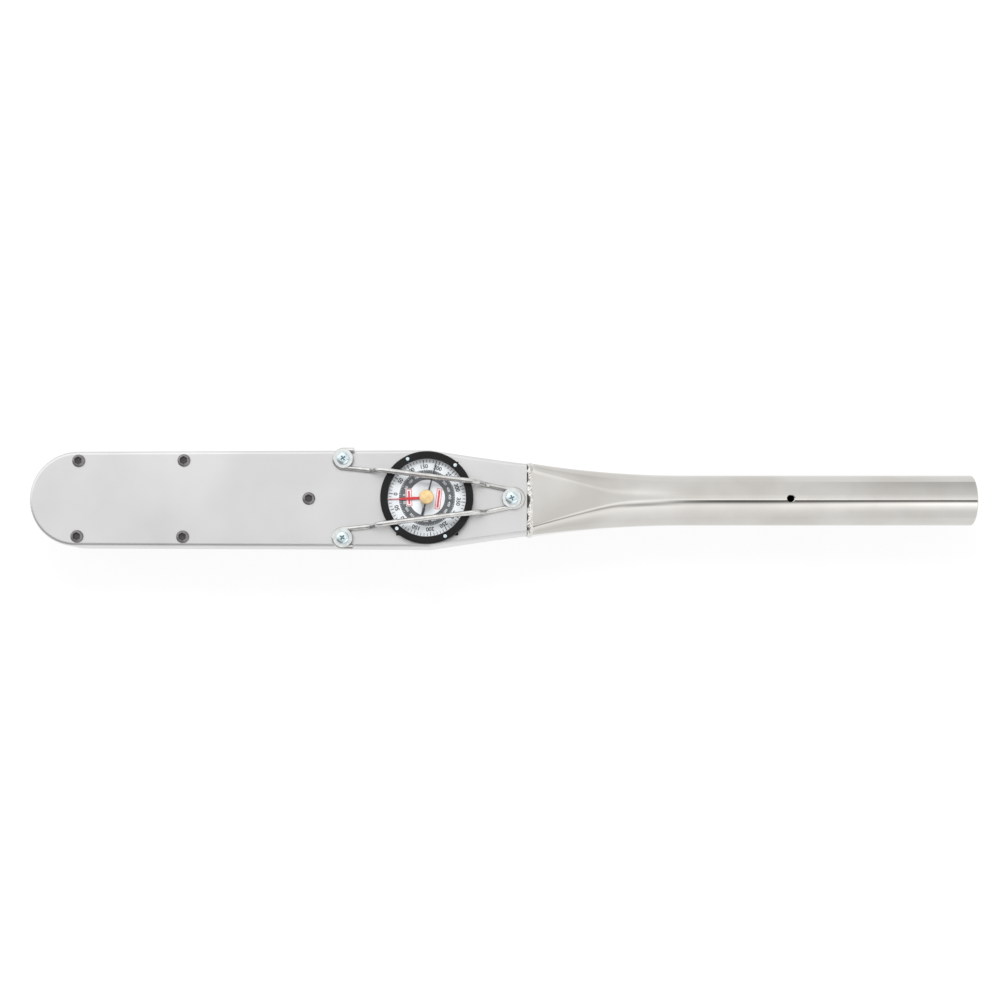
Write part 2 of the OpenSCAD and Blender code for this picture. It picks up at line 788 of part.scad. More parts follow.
// Points along one flank of an involute tooth, from the root to the tip
base_r = pinion_r * cos(pressure);
tip_r = pinion_r + gear_m;
root_r = pinion_r - 1.25 * gear_m;
flank_steps = 5;
function roll(r) = sqrt(max(0, pow(r / base_r, 2) - 1));
function involute_deg(r) = roll(r) * 180 / PI - atan(roll(r));
tooth_half_deg = 90 / pinion_teeth - backlash / 2 / pinion_r * 90 / PI;
function flank(side, from, to) = [for (i = [0 : flank_steps])
    let (r = from + (to - from) * i / flank_steps,
         a = side * (tooth_half_deg + involute_deg(pinion_r) - involute_deg(max(r, base_r))))
    r * [cos(a), sin(a)]];
function turned(points, a) =
    [for (p = points) [p[0] * cos(a) - p[1] * sin(a), p[0] * sin(a) + p[1] * cos(a)]];

module pinion_arbor() {
    teeth = [for (k = [0 : pinion_teeth - 1])
        each turned(concat(flank(-1, root_r, tip_r), flank(1, tip_r, root_r)),
            (k + 0.5) * 360 / pinion_teeth)];
    z_low = z_arm - pinion_over;
    color([0.70, 0.71, 0.72])
    on_dial() {
        translate([0, 0, z_bridge]) cylinder(r = pivot_r, h = z_low - z_bridge + fit);
        translate([0, 0, z_low]) linear_extrude(arm_t + 2 * pinion_over) polygon(teeth);
        translate([0, 0, z_low]) cylinder(r = arbor_r, h = z_pointer + pointer_hub_h - z_low - hand_t);
    }
}

// Drive

module drive_shaft() {
    square_l = drive_len + fit;
    color([0.62, 0.63, 0.65])
    difference() {
        union() {
            intersection() {
                translate([-drive_af / 2, -drive_af / 2, 0]) cube([drive_af, drive_af, square_l]);
                union() {
                    translate([0, 0, drive_chamfer]) cylinder(r = corner_r, h = square_l);
                    cylinder(r1 = corner_r - 2 * drive_chamfer, r2 = corner_r, h = drive_chamfer);
                }
            }
            translate([0, 0, drive_len]) cylinder(r = journal_r, h = z_hub - drive_len + fit);
            translate([0, 0, z_hub]) cylinder(r = hub_r, h = z_hub_top - z_hub);
            translate([0, -boss_hw, z_arm_top]) cube([boss_end, 2 * boss_hw, z_hub_top - z_arm_top]);
            translate([0, 0, z_hub_top - fit]) cylinder(r = nose_r, h = z_plate - nose_gap - z_hub_top + fit);
        }
        translate([beam_x0 - fit, -beam_t / 2 - seat, z_beam - fit])
            cube([boss_end, beam_t + 2 * seat, beam_h + fit + seat]);
        for (x = beam_pin_x) translate([x, -hub_r - cut, z_beam + beam_h / 2])
            rotate([-90, 0, 0]) cylinder(r = beam_pin_r + seat, h = 2 * hub_r + 2 * cut);
        for (x = arm_screw_x) for (side = [-1, 1]) translate([x, side * arm_screw_y, z_arm_top - cut])
            cylinder(r = arm_screw_r + seat, h = arm_screw_l - arm_t + cut);
        translate([0, drive_af / 2 - ball_bore_l, drive_len / 2]) rotate([-90, 0, 0])
            cylinder(r = ball_r + fit, h = ball_bore_l + cut);
    }
}

module thrust_washers() {
    color([0.72, 0.53, 0.28]) {
        translate([0, 0, z_web]) ring(hub_r - 0.5, journal_r + fit, thrust_t);
        translate([0, 0, z_hub_top]) ring(hub_r - 0.5, nose_r + fit, thrust_t);
    }
}

module deflection_beam() {
    color([0.42, 0.43, 0.45])
    difference() {
        translate([beam_x0, -beam_t / 2, z_beam]) cube([roller_x + beam_over - beam_x0, beam_t, beam_h]);
        for (x = beam_pin_x) translate([x, -beam_t, z_beam + beam_h / 2])
            rotate([-90, 0, 0]) cylinder(r = beam_pin_r + seat, h = 2 * beam_t);
    }
}

module beam_pins() {
    color([0.66, 0.67, 0.69])
    for (x = beam_pin_x) translate([x, -boss_hw, z_beam + beam_h / 2])
        rotate([-90, 0, 0]) cylinder(r = beam_pin_r, h = 2 * boss_hw);
}

sector_half = (sector_half_teeth + 0.5) * tooth_deg;
function polar(r, a) = r * [cos(a), sin(a)];
function tooth_edge(r) = (gear_m * PI / 4 - backlash / 4 - (r - sector_r) * tan(pressure)) / r * 180 / PI;
module indicator_arm() {
    r_tip = sector_r + gear_m;
    r_root = sector_r - 1.25 * gear_m;
    teeth = [for (k = [-sector_half_teeth : sector_half_teeth])
        each [
            polar(r_root, k * tooth_deg - tooth_edge(r_root)),
            polar(r_tip, k * tooth_deg - tooth_edge(r_tip)),
            polar(r_tip, k * tooth_deg + tooth_edge(r_tip)),
            polar(r_root, k * tooth_deg + tooth_edge(r_root))]];
    back = [for (i = [8 : -1 : -8]) polar(r_root - sector_rim, sector_half * i / 8)];
    neck_r = r_root - sector_rim - 14;
    color([0.66, 0.67, 0.69])
    difference() {
        translate([0, 0, z_arm]) linear_extrude(arm_t) union() {
            polygon(concat(teeth, back));
            polygon([
                [arm_x0, -boss_hw], [boss_end, -boss_hw], [arm_waist, -arm_hw], [neck_r, -arm_hw],
                [r_root - sector_rim / 2, -2 * arm_hw], [r_root - sector_rim / 2, 2 * arm_hw],
                [neck_r, arm_hw],
                [arm_waist, arm_hw], [boss_end, boss_hw], [arm_x0, boss_hw]]);
        }
        for (x = arm_screw_x) for (side = [-1, 1]) translate([x, side * arm_screw_y, z_arm - cut])
            cylinder(r = arm_screw_r + fit, h = arm_t + 2 * cut);
    }
}

module arm_screws() {
    color([0.28, 0.27, 0.27])
    for (x = arm_screw_x) for (side = [-1, 1]) translate([x, side * arm_screw_y, z_arm]) {
        cylinder(r = arm_screw_r, h = arm_screw_l);
        translate([0, 0, -arm_screw_r]) cylinder(r = arm_head_r, h = arm_screw_r);
    }
}

module detent_spring() {
    low = drive_af / 2 - ball_bore_l + spring_wire / 2;
    high = ball_y - ball_r - spring_wire / 2;
    n = spring_turns * spring_steps;
    coil = ball_r - spring_wire;
    color([0.72, 0.73, 0.75])
    wire(
        [for (i = [0 : n]) let (a = 360 * i / spring_steps)
            [coil * sin(a), low + (high - low) * i / n, drive_len / 2 + coil * cos(a)]],
        spring_wire / 2, 8, [0, 1, 0]);
}

module detent_ball() {
    color([0.78, 0.79, 0.80]) translate([0, ball_y, drive_len / 2]) sphere(r = ball_r);
}

// Hands

module pointer_hub() {
    color([0.08, 0.08, 0.08])
    on_dial() translate([0, 0, z_pointer - hand_t]) ring(pointer_hub_r, arbor_r + seat, pointer_hub_h);
}

module pointer() {
    color([0.80, 0.10, 0.12])
    on_dial() translate([0, 0, z_pointer]) linear_extrude(hand_t) rotate([0, 0, pointer_deg])
    difference() {
        union() {
            circle(r = pointer_hub_r + 1.2);
            polygon([
                [0, -hand_hw], [pointer_knee_r, -hand_knee_hw], [pointer_r, -hand_tip_hw],
                [pointer_r, hand_tip_hw], [pointer_knee_r, hand_knee_hw], [0, hand_hw]
            ]);
        }
        circle(r = pointer_hub_r + seat);
    }
}

module memory_pointer() {
    color([0.06, 0.06, 0.06])
    on_dial() translate([0, 0, z_memory]) {
        linear_extrude(hand_t) rotate([0, 0, memory_deg]) difference() {
            union() {
                circle(r = memory_hub_r + 1);
                polygon([
                    [-memory_tail, -hand_knee_hw], [0, -memory_hw], [memory_r, -hand_tip_hw],
                    [memory_r, hand_tip_hw], [0, memory_hw], [-memory_tail, hand_knee_hw]
                ]);
            }
            circle(r = arbor_r + seat);
        }
        translate([0, 0, hand_t]) ring(memory_hub_r, arbor_r + seat, memory_hub_h - hand_t);
    }
}

module reset_knob() {
    z_knob = z_glass_top + knob_gap;
    color([0.85, 0.68, 0.36])
    on_dial() {
        translate([0, 0, z_memory]) cylinder(r = arbor_r, h = z_knob - z_memory + fit);
        translate([0, 0, z_knob]) cylinder(r = knob_d / 2, h = knob_h - knob_round);
        translate([0, 0, z_knob + knob_h - knob_round])
            cylinder(r1 = knob_d / 2, r2 = knob_d / 2 - knob_round, h = knob_round);
    }
}

// Dial: turning pieces

module bezel_base() {
    color([0.08, 0.08, 0.08])
    difference() {
        on_dial() difference() {
            translate([0, 0, z_base]) cylinder(r = bezel_r - bezel_round / 3, h = z_face - z_base);
            translate([0, 0, z_base - cut]) cylinder(r = case_r + fit, h = z_ledge - z_base + cut);
            translate([0, 0, z_base]) cylinder(r = case_r - 2 * case_rim, h = z_face);
            translate([0, 0, z_ring]) rotate_extrude() translate([case_r, 0])
                circle(r = ring_r + 5 * fit, $fn = 24);
        }
        at_bezel_screws() translate([0, 0, z_glass_top - bezel_screw_l])
            cylinder(r = bezel_screw_r + seat, h = bezel_screw_l);
    }
}

module bezel() {
    color([0.07, 0.07, 0.07])
    difference() {
        on_dial() rotate_extrude() difference() {
            union() {
                translate([0, z_face]) square([bezel_r, z_bezel_top - z_face - bezel_round]);
                translate([0, z_face]) square([bezel_r - bezel_round, z_bezel_top - z_face]);
                translate([bezel_r - bezel_round, z_bezel_top - bezel_round]) circle(r = bezel_round);
            }
            translate([0, z_face - cut]) square([counter_r, z_glass_top - z_face + cut]);
            translate([0, z_face - cut]) square([glass_r, z_bezel_top - z_face + 2 * cut]);
        }
        at_bezel_screws() {
            translate([0, 0, z_face - cut])
                cylinder(r = bezel_screw_r + fit, h = z_bezel_top - z_face + 2 * cut);
            translate([0, 0, z_bezel_top - bezel_head_h])
                cylinder(r = bezel_head_r + fit, h = bezel_head_h + cut);
        }
    }
}

module bezel_screws() {
    color([0.80, 0.80, 0.80])
    at_bezel_screws() {
        translate([0, 0, z_glass_top - bezel_screw_l])
            cylinder(r = bezel_screw_r, h = z_bezel_top - bezel_head_h - z_glass_top + bezel_screw_l);
        translate([0, 0, z_bezel_top - bezel_head_h]) difference() {
            cylinder(r = bezel_head_r, h = bezel_head_h);
            translate([-bezel_head_r - cut, -bezel_slot / 2, bezel_head_h / 2])
                cube([2 * bezel_head_r + 2 * cut, bezel_slot, bezel_head_h]);
        }
    }
}

module spacer_ring() {
    color([0.85, 0.85, 0.85])
    on_dial() translate([0, 0, z_face + face_t])
        ring(counter_r - fit, glass_r + fit, z_glass - z_face - face_t);
}

module crystal() {
    color([0.90, 0.94, 0.96, 0.3]) on_dial() translate([0, 0, z_glass])
        ring(counter_r - fit, arbor_r + fit, crystal_t);
}

module dial_face() {
    color([0.93, 0.93, 0.92]) on_dial() translate([0, 0, z_face]) ring(counter_r - fit, face_hole_r, face_t);
}

front_shell();
back_cover();
cover_screws();
handle_tube();
weld_bead();
head_frame();
rear_plate();
front_bush();
rear_bush();
housing_screws();
anchor_block();
anchor_rollers();
tail_cleat();
guard_wire();
guard_screws();
guard_washers();
guard_nuts();
mount_plate();
dial_case();
case_screws();
friction_ring();
movement_plate();
movement_pillars();
movement_screws();
pinion_bridge();
bridge_posts();
arbor_bush();
hairspring();
hairspring_stud();
drive_shaft();
thrust_washers();
deflection_beam();
beam_pins();
indicator_arm();
arm_screws();
detent_spring();
detent_ball();
pinion_arbor();
hairspring_collet();
pointer_hub();
pointer();
bezel_base();
bezel();
bezel_screws();
spacer_ring();
crystal();
dial_face();
memory_pointer();
reset_knob();
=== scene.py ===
import math

import bmesh
import bpy
from mathutils import Matrix, Vector, noise


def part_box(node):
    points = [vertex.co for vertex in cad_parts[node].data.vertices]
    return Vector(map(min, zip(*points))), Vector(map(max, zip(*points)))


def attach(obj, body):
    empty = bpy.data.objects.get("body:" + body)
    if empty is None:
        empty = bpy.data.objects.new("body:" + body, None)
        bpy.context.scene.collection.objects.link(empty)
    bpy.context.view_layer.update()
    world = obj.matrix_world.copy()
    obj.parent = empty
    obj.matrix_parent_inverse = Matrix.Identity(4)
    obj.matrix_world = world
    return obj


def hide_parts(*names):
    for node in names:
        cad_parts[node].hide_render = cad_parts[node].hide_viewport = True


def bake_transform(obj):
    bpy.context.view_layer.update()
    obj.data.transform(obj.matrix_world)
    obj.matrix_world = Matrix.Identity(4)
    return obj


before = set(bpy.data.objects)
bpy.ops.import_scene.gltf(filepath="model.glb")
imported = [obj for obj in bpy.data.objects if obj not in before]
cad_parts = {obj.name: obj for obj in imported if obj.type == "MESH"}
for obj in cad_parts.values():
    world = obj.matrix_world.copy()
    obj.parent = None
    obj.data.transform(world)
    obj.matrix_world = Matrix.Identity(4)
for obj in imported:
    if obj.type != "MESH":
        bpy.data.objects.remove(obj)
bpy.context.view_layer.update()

scene = bpy.context.scene
mm = 0.001
print("frame loaded:", len(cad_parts), "nodes")


def linear(hexColour):
    parts = [int(hexColour[i:i + 2], 16) / 255 for i in (1, 3, 5)]
    return tuple(c / 12.92 if c <= 0.04045 else ((c + 0.055) / 1.055) ** 2.4 for c in parts) + (1.0,)


def add(tree, kind, inputs=None, **settings):
    made = tree.nodes.new("ShaderNode" + kind)
    for key, value in settings.items():
        setattr(made, key, value)
    for key, value in (inputs or {}).items():
        if isinstance(value, bpy.types.NodeSocket):
            tree.links.new(value, made.inputs[key])
        else:
            made.inputs[key].default_value = value
    return made


# Finishes. Grain and blotch are pattern sizes and bump is a height, all in millimetres.
# Fine grain shows only close up: from the camera it evens out to a sheen.
looks = {
    "plated_steel": dict(  # satin nickel over sheet steel, brushed along its length
        colour="#dadada", tint="#d2d2d2", metallic=1.0, rough=0.34, spread=0.05,
        grain=(28, 0.16, 0.16), blotch=70, bump=0.0022),
    "chrome_tube": dict(  # bright chrome with fine draw lines
        colour="#cfcdc9", tint="#c6c3be", metallic=1.0, rough=0.055, spread=0.03,
        grain=(60, 0.22, 0.22), blotch=45, bump=0.00035),
    "weld_metal": dict(  # plated weld, glossy on the crests
        colour="#e6e4e1", tint="#cdcac5", metallic=1.0, rough=0.24, spread=0.10,
        grain=(0.7, 0.7, 0.7), blotch=3.2, bump=0.02),
    "guard_steel": dict(  # drawn wire, dull plated
        colour="#d6d6d4", tint="#c6c5c3", metallic=1.0, rough=0.22, spread=0.06,
        grain=(9, 0.2, 0.2), blotch=7, bump=0.0015),
    "zinc": dict(  # bright zinc with a blue passivate
        colour="#e2eef1", tint="#cbdce1", metallic=1.0, rough=0.26, spread=0.08,
        grain=(0.6, 0.6, 0.6), blotch=3, bump=0.004),
    "black_oxide": dict(  # oiled black oxide, rubbed bright at the edges
        colour="#7b7778", tint="#888485", metallic=0.85, rough=0.36, spread=0.08,
        grain=(0.3, 0.3, 0.3), blotch=2, bump=0.004, wear="#8d898a", wearWidth=0.25),
    "black_paint": dict(  # black enamel with a fine orange peel
        colour="#111112", tint="#161617", metallic=0.0, rough=0.46, spread=0.08, gloss=0.22,
        grain=(0.5, 0.5, 0.5), blotch=9, bump=0.006, wear="#3c3c3d", wearWidth=0.2),
    "frame_steel": dict(  # hot rolled plate, ground
        colour="#8d8e90", tint="#76777a", metallic=1.0, rough=0.42, spread=0.08,
        grain=(6, 0.3, 0.3), blotch=14, bump=0.006),
    "spring_steel": dict(  # tempered steel, lightly oiled
        colour="#a5a6a8", tint="#8a8784", metallic=1.0, rough=0.28, spread=0.07,
        grain=(5, 0.2, 0.2), blotch=10, bump=0.003),
    "bronze": dict(  # sintered bronze, slightly open grain
        colour="#b08a52", tint="#94703f", metallic=1.0, rough=0.40, spread=0.08,
        grain=(0.25, 0.25, 0.25), blotch=4, bump=0.01),
    "brass": dict(  # turned brass, lightly tarnished
        colour="#e6ca98", tint="#d9b985", metallic=0.55, rough=0.40, spread=0.07,
        grain=(0.3, 0.3, 0.3), blotch=3, bump=0.005),
    "dial_print": dict(  # matt white dial enamel
        colour="#e2e5e8", tint="#dadde1", metallic=0.0, rough=0.55, spread=0.04,
        grain=(0.4, 0.4, 0.4), blotch=8, bump=0.001),
    "pointer_red": dict(  # red lacquer
        colour="#c8202c", tint="#b81a26", metallic=0.0, rough=0.38, spread=0.05,
        grain=(0.5, 0.5, 0.5), blotch=4, bump=0.001),
    "pointer_black": dict(  # blued steel hand
        colour="#333743", tint="#272a33", metallic=0.3, rough=0.38, spread=0.05,
        grain=(2, 0.3, 0.3), blotch=4, bump=0.001),
    "rubber": dict(  # black nitrile cord
        colour="#161616", tint="#1e1e1e", metallic=0.0, rough=0.75, spread=0.05,
        grain=(0.3, 0.3, 0.3), blotch=3, bump=0.004),
    "inkBlack": dict(  # screen printed black
        colour="#17191c", tint="#1e2023", metallic=0.0, rough=0.6, spread=0.04,
        grain=(0.2, 0.2, 0.2), blotch=2, bump=0.0006),
    "washerZinc": dict(  # tumbled zinc washer
        colour="#e4e7e7", tint="#d3d7d7", metallic=1.0, rough=0.34, spread=0.08,
        grain=(0.4, 0.4, 0.4), blotch=4, bump=0.004),
    "recessShade": dict(  # painted shade: the hex socket's walls and floor, darker than the head
        colour="#444243", tint="#514f50", metallic=0.5, rough=0.6, spread=0.1,
        grain=(0.2, 0.2, 0.2), blotch=1, bump=0.01),
    "zincRecessShade": dict(  # painted shade: the cross recess's walls and floor, a darker bluish grey than the head
        colour="#8fa6ae", tint="#768d95", metallic=0.7, rough=0.5, spread=0.1,
        grain=(0.2, 0.2, 0.2), blotch=1, bump=0.01),
    "grooveShade": dict(  # painted shade for the groove where the weld meets the shell
        colour="#2c2a28", tint="#4a4642", metallic=0.4, rough=0.65, spread=0.1,
        grain=(0.3, 0.3, 0.3), blotch=1.5, bump=0.02),
    "inkGrey": dict(  # screen printed dark grey band
        colour="#4c5054", tint="#54585c", metallic=0.0, rough=0.55, spread=0.04,
        grain=(0.3, 0.3, 0.3), blotch=3, bump=0.0006),
    "inkWhite": dict(  # screen printed white
        colour="#e6e8ea", tint="#dcdee0", metallic=0.0, rough=0.6, spread=0.04,
        grain=(0.2, 0.2, 0.2), blotch=2, bump=0.0006),
    "inkRed": dict(  # screen printed red
        colour="#cf4450", tint="#c63a47", metallic=0.0, rough=0.55, spread=0.04,
        grain=(0.2, 0.2, 0.2), blotch=2, bump=0.0006),
}


# Where the noise counts: blotches fade in between two levels, grain spreads the roughness between two more,
# and an edge wears where the rounded normal leaves the flat one
reading = dict(blotchLow=0.38, blotchHigh=0.62, grainLow=0.3, grainHigh=0.7, wearStart=0.99, wearFull=0.80)


def surface(name, look):
    material = bpy.data.materials.new(name)
    material.use_nodes = True
    tree = material.node_tree
    tree.nodes.clear()
    place = add(tree, "TexCoord").outputs["Object"]
    grainScale = [1 / (g * mm) for g in look["grain"]]
    blotchScale = 1 / (look["blotch"] * mm)
    grainPlace = add(tree, "Mapping", {"Vector": place, "Scale": grainScale}).outputs[0]
    fine = add(tree, "TexNoise", {"Vector": grainPlace, "Scale": 1.0, "Detail": 5.0,
                                  "Roughness": 0.6}).outputs[0]
    cloudy = add(tree, "TexNoise", {"Vector": place, "Scale": blotchScale, "Detail": 3.0}).outputs[0]
    share = add(tree, "MapRange", {"Value": cloudy, "From Min": reading["blotchLow"],
                                   "From Max": reading["blotchHigh"]}).outputs[0]
    colour = add(tree, "Mix", {0: share, 6: linear(look["colour"]), 7: linear(look["tint"])},
                 data_type="RGBA").outputs[2]
    if "wear" in look:
        rounded = add(tree, "Bevel", {"Radius": look["wearWidth"] * mm}, samples=4).outputs[0]
        plain = add(tree, "NewGeometry").outputs["Normal"]
        match = add(tree, "VectorMath", {0: rounded, 1: plain}, operation="DOT_PRODUCT").outputs["Value"]
        edge = add(tree, "MapRange", {"Value": match, "From Min": reading["wearStart"],
                                      "From Max": reading["wearFull"]}).outputs[0]
        rubbed = add(tree, "Math", {0: edge, 1: fine}, operation="MULTIPLY").outputs[0]
        colour = add(tree, "Mix", {0: rubbed, 6: colour, 7: linear(look["wear"])},
                     data_type="RGBA").outputs[2]
    rough = add(tree, "MapRange", {"Value": fine, "From Min": reading["grainLow"],
                                   "From Max": reading["grainHigh"],
                                   "To Min": look["rough"] - look["spread"] / 2,
                                   "To Max": look["rough"] + look["spread"] / 2}).outputs[0]
    relief = add(tree, "Bump", {"Height": fine, "Distance": look["bump"] * mm, "Strength": 1.0}).outputs[0]
    shader = add(tree, "BsdfPrincipled", {"Base Color": colour, "Metallic": look["metallic"],
                                          "Roughness": rough, "Normal": relief,
                                          "Specular IOR Level": look.get("gloss", 0.5)})
    add(tree, "OutputMaterial", {"Surface": shader.outputs[0]})
    return material


finishes = {name: surface(name, look) for name, look in looks.items()}

# Clear acrylic crystal: a faint reflection over a clear body, with a light haze
acrylic = dict(ior=1.49, haze=6 * mm, roughLow=0.01, roughHigh=0.07,
               through=(0.995, 0.998, 0.998, 1.0))  # share of red, green and blue let through
clear = bpy.data.materials.new("crystal")
clear.use_nodes = True
tree = clear.node_tree
tree.nodes.clear()
hazePlace = add(tree, "TexCoord").outputs["Object"]
haze = add(tree, "TexNoise", {"Vector": hazePlace, "Scale": 1 / acrylic["haze"], "Detail": 4.0}).outputs[0]
hazeRough = add(tree, "MapRange", {"Value": haze, "To Min": acrylic["roughLow"],
                                   "To Max": acrylic["roughHigh"]}).outputs[0]
sheen = add(tree, "BsdfGlossy", {"Roughness": hazeRough}).outputs[0]
through = add(tree, "BsdfTransparent", {"Color": acrylic["through"]}).outputs[0]
inside = add(tree, "NewGeometry").outputs["Backfacing"]
outside = add(tree, "Math", {0: 1.0, 1: inside}, operation="SUBTRACT").outputs[0]
mirror = add(tree, "Fresnel", {"IOR": acrylic["ior"]}).outputs[0]
bounce = add(tree, "Math", {0: mirror, 1: outside}, operation="MULTIPLY").outputs[0]
crystal = add(tree, "MixShader", {0: bounce, 1: through, 2: sheen}).outputs[0]
add(tree, "OutputMaterial", {"Surface": crystal})
finishes["crystal"] = clear

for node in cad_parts.values():
    for slot in node.material_slots:
        slot.material = finishes[slot.material.name.split(".")[0]]
print("finishes made:", len(finishes))


# Skins rings of points that match one to one. The last few strips can take the piece's second finish, the
# painted shade of a recess.
def skin(bm, rings, loop=False, recessShade=0):
    rows = [[bm.verts.new(p) for p in ring] for ring in rings]
    count = len(rings[0])
    pairs = list(zip(rows, rows[1:])) + ([(rows[-1], rows[0])] if loop else [])
    for number, (a, b) in enumerate(pairs):
        for i in range(count):
            j = (i + 1) % count
            face = bm.faces.new((a[i], a[j], b[j], b[i]))
            face.material_index = 1 if number >= len(pairs) - recessShade else 0
    if not loop:
        bm.faces.new(rows[0][::-1])
        bm.faces.new(rows[-1]).material_index = 1 if recessShade else 0


# Turns a profile of (radius, height). A radius may also be a function of the angle.
def turned(centre, profile, count=96):
    rings = []
    for radius, z in profile:
        ring = []
        for a in (2 * math.pi * i / count for i in range(count)):
            reach = radius(a) if callable(radius) else radius
            ring.append((centre[0] + reach * math.cos(a), centre[1] + reach * math.sin(a), z))
        rings.append(ring)
    return rings


def outlined(points, low, high):
    return [[(x, y, low) for x, y in points], [(x, y, high) for x, y in points]]


# The four rounded corners of a bar: which side each is on, and the angles round it
def corners(steps):
    for sideA, sideB, start in ((1, 1, 0), (-1, 1, 90), (-1, -1, 180), (1, -1, 270)):
        for i in range(steps + 1):
            yield sideA, sideB, math.radians(start + 90 * i / steps)


def piece(name, bm, body, slotName, standsFor=(), finish=None, sharp=32, cutter=None, second=None):
    bmesh.ops.recalc_face_normals(bm, faces=bm.faces)
    mesh = bpy.data.meshes.new(name)
    bm.to_mesh(mesh)
    bm.free()
    made = bpy.data.objects.new(name, mesh)
    scene.collection.objects.link(made)
    if cutter:
        cutMesh = bpy.data.meshes.new("cutter")
        bmesh.ops.recalc_face_normals(cutter, faces=cutter.faces)
        cutter.to_mesh(cutMesh)
        cutter.free()
        tool = bpy.data.objects.new("cutter", cutMesh)
        scene.collection.objects.link(tool)
        hole = made.modifiers.new("hole", "BOOLEAN")
        hole.object = tool
        hole.solver = "EXACT"
        hole.operation = "DIFFERENCE"
        graph = bpy.context.evaluated_depsgraph_get()
        made.data = bpy.data.meshes.new_from_object(made.evaluated_get(graph))
        made.modifiers.clear()
        bpy.data.objects.remove(tool)
    made.data.shade_smooth()
    made.data.set_sharp_from_angle(angle=math.radians(sharp))
    made.data.materials.append(finishes[finish or slotName])
    if second:
        made.data.materials.append(finishes[second])
    if body:
        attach(made, body)
    if standsFor:
        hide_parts(*standsFor)
    return made


# Handle tube: a flat-sided neck drawn out to round tube, bored right through
tubeLow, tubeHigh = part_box("handle_tube")
weldLow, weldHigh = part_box("weld_bead")
neck = dict(wall=3.175 * mm, radius=19.05 * mm, halfDepth=17 * mm, corner=6.4 * mm, edge=0.6 * mm,
            weldEnd=5.5 * mm, length=120 * mm, rows=70, tubeRows=24,
            flatCorner=8.0 * mm, flatShare=0.57, flatFade=0.1, flatLean=0.06)  # how the flat side runs out
lockHole = dict(back=140 * mm, radius=2.5 * mm, depth=8 * mm, flare=0.9 * mm, flareDepth=0.75 * mm,
                proud=0.15 * mm, clear=4 * mm)
axisZ = (tubeLow.z + tubeHigh.z) / 2
neckHalf = tubeHigh.y


def neckRing(x, inset, steps=48):
    t = min(1, max(0, (x - tubeLow.x - neck["weldEnd"]) / (neck["length"] - neck["weldEnd"])))
    taper = (1 - t) ** 2
    halfWidth = neck["radius"] + (neckHalf - neck["radius"]) * taper
    halfHeight = neck["radius"] + (neck["halfDepth"] - neck["radius"]) * taper
    fade = neck["flatFade"]
    straight = fade * math.log(1 + math.exp((1 - t / neck["flatShare"]) / fade))
    flat = (neckHalf - neck["flatCorner"]) * ((1 - neck["flatLean"]) * straight + neck["flatLean"] * taper)
    side = (neck["halfDepth"] - neck["corner"]) * taper
    last = steps - min(1, flat / mm)
    ring = []
    for q in range(4):
        sy = 1 if q in (0, 3) else -1
        sz = 1 if q < 2 else -1
        for i in range(steps):
            a = math.radians(90 * q + 90 * i / last)
            ring.append((x, sy * flat + (halfWidth - flat - inset) * math.cos(a),
                         axisZ + sz * side + (halfHeight - side - inset) * math.sin(a)))
    return ring


bm = bmesh.new()
neckRows, tubeRows = neck["rows"], neck["tubeRows"]
stations = [tubeLow.x + neck["length"] * i / neckRows for i in range(neckRows + 1)]
roundFrom, roundTo = stations[-1], tubeHigh.x - neck["edge"]
stations += [roundFrom + (roundTo - roundFrom) * i / tubeRows for i in range(1, tubeRows + 1)]
outer = [neckRing(x, 0) for x in stations] + [neckRing(tubeHigh.x, neck["edge"])]
inner = [neckRing(tubeHigh.x, neck["wall"] - neck["edge"])]
inner += [neckRing(x, neck["wall"]) for x in reversed(stations)]
skin(bm, outer + inner, loop=True)
drill = bmesh.new()
topZ = axisZ + neck["radius"]
bore, mouth = lockHole["radius"], lockHole["radius"] + lockHole["flare"]
skin(drill, turned((tubeHigh.x - lockHole["back"], 0), [
    (bore, topZ - lockHole["depth"]), (bore, topZ - lockHole["flareDepth"]),
    (mouth, topZ + lockHole["proud"]), (mouth, topZ + lockHole["clear"])], 48))
piece("handleTube", bm, "housing", "chrome_tube", ["handle_tube"], cutter=drill)
print("handle tube made")

# Weld bead: overlapping ripples laid round the joint, with pits along the side that meets the shell
bead = dict(rows=14, spacing=0.35 * mm, crown=1.0 * mm, root=-0.25 * mm, over=1 * mm, under=0.3 * mm,
            ripple=2.1 * mm, uneven=0.45, wave=0.12, lean=0.9, level=0.75, least=0.25,
            drift=0.35 * mm, driftSize=4 * mm, driftPlace=0.7, pitGain=4, pitEdge=0.2, pitDepth=0.85,
            pits=(  # across the top in mm: middle, half width, how far in
                (23.0, 1.3, 0.8), (15.8, 3.2, 1.0), (-1.8, 4.2, 2.2), (-14.5, 2.4, 0.9), (-22.6, 0.9, 1.5)))


# Evens out the spacing, so the flat sides get points too
def spread(rings, step):
    base = [Vector(p) for p in rings[0]]
    marks = []
    for i, p in enumerate(base):
        parts = max(1, round((base[(i + 1) % len(base)] - p).length / step))
        marks += [(i, k / parts) for k in range(parts)]
    return [[Vector(ring[i]).lerp(Vector(ring[(i + 1) % len(ring)]), share) for i, share in marks]
            for ring in rings]


# Pit depth round the top of the joint: it sinks the bead and widens the painted shade strip
def pitted(y, z):
    if z <= axisZ:
        return 0
    return sum(w * math.exp(-((y / mm - c) / reach) ** 4) for c, reach, w in bead["pits"])


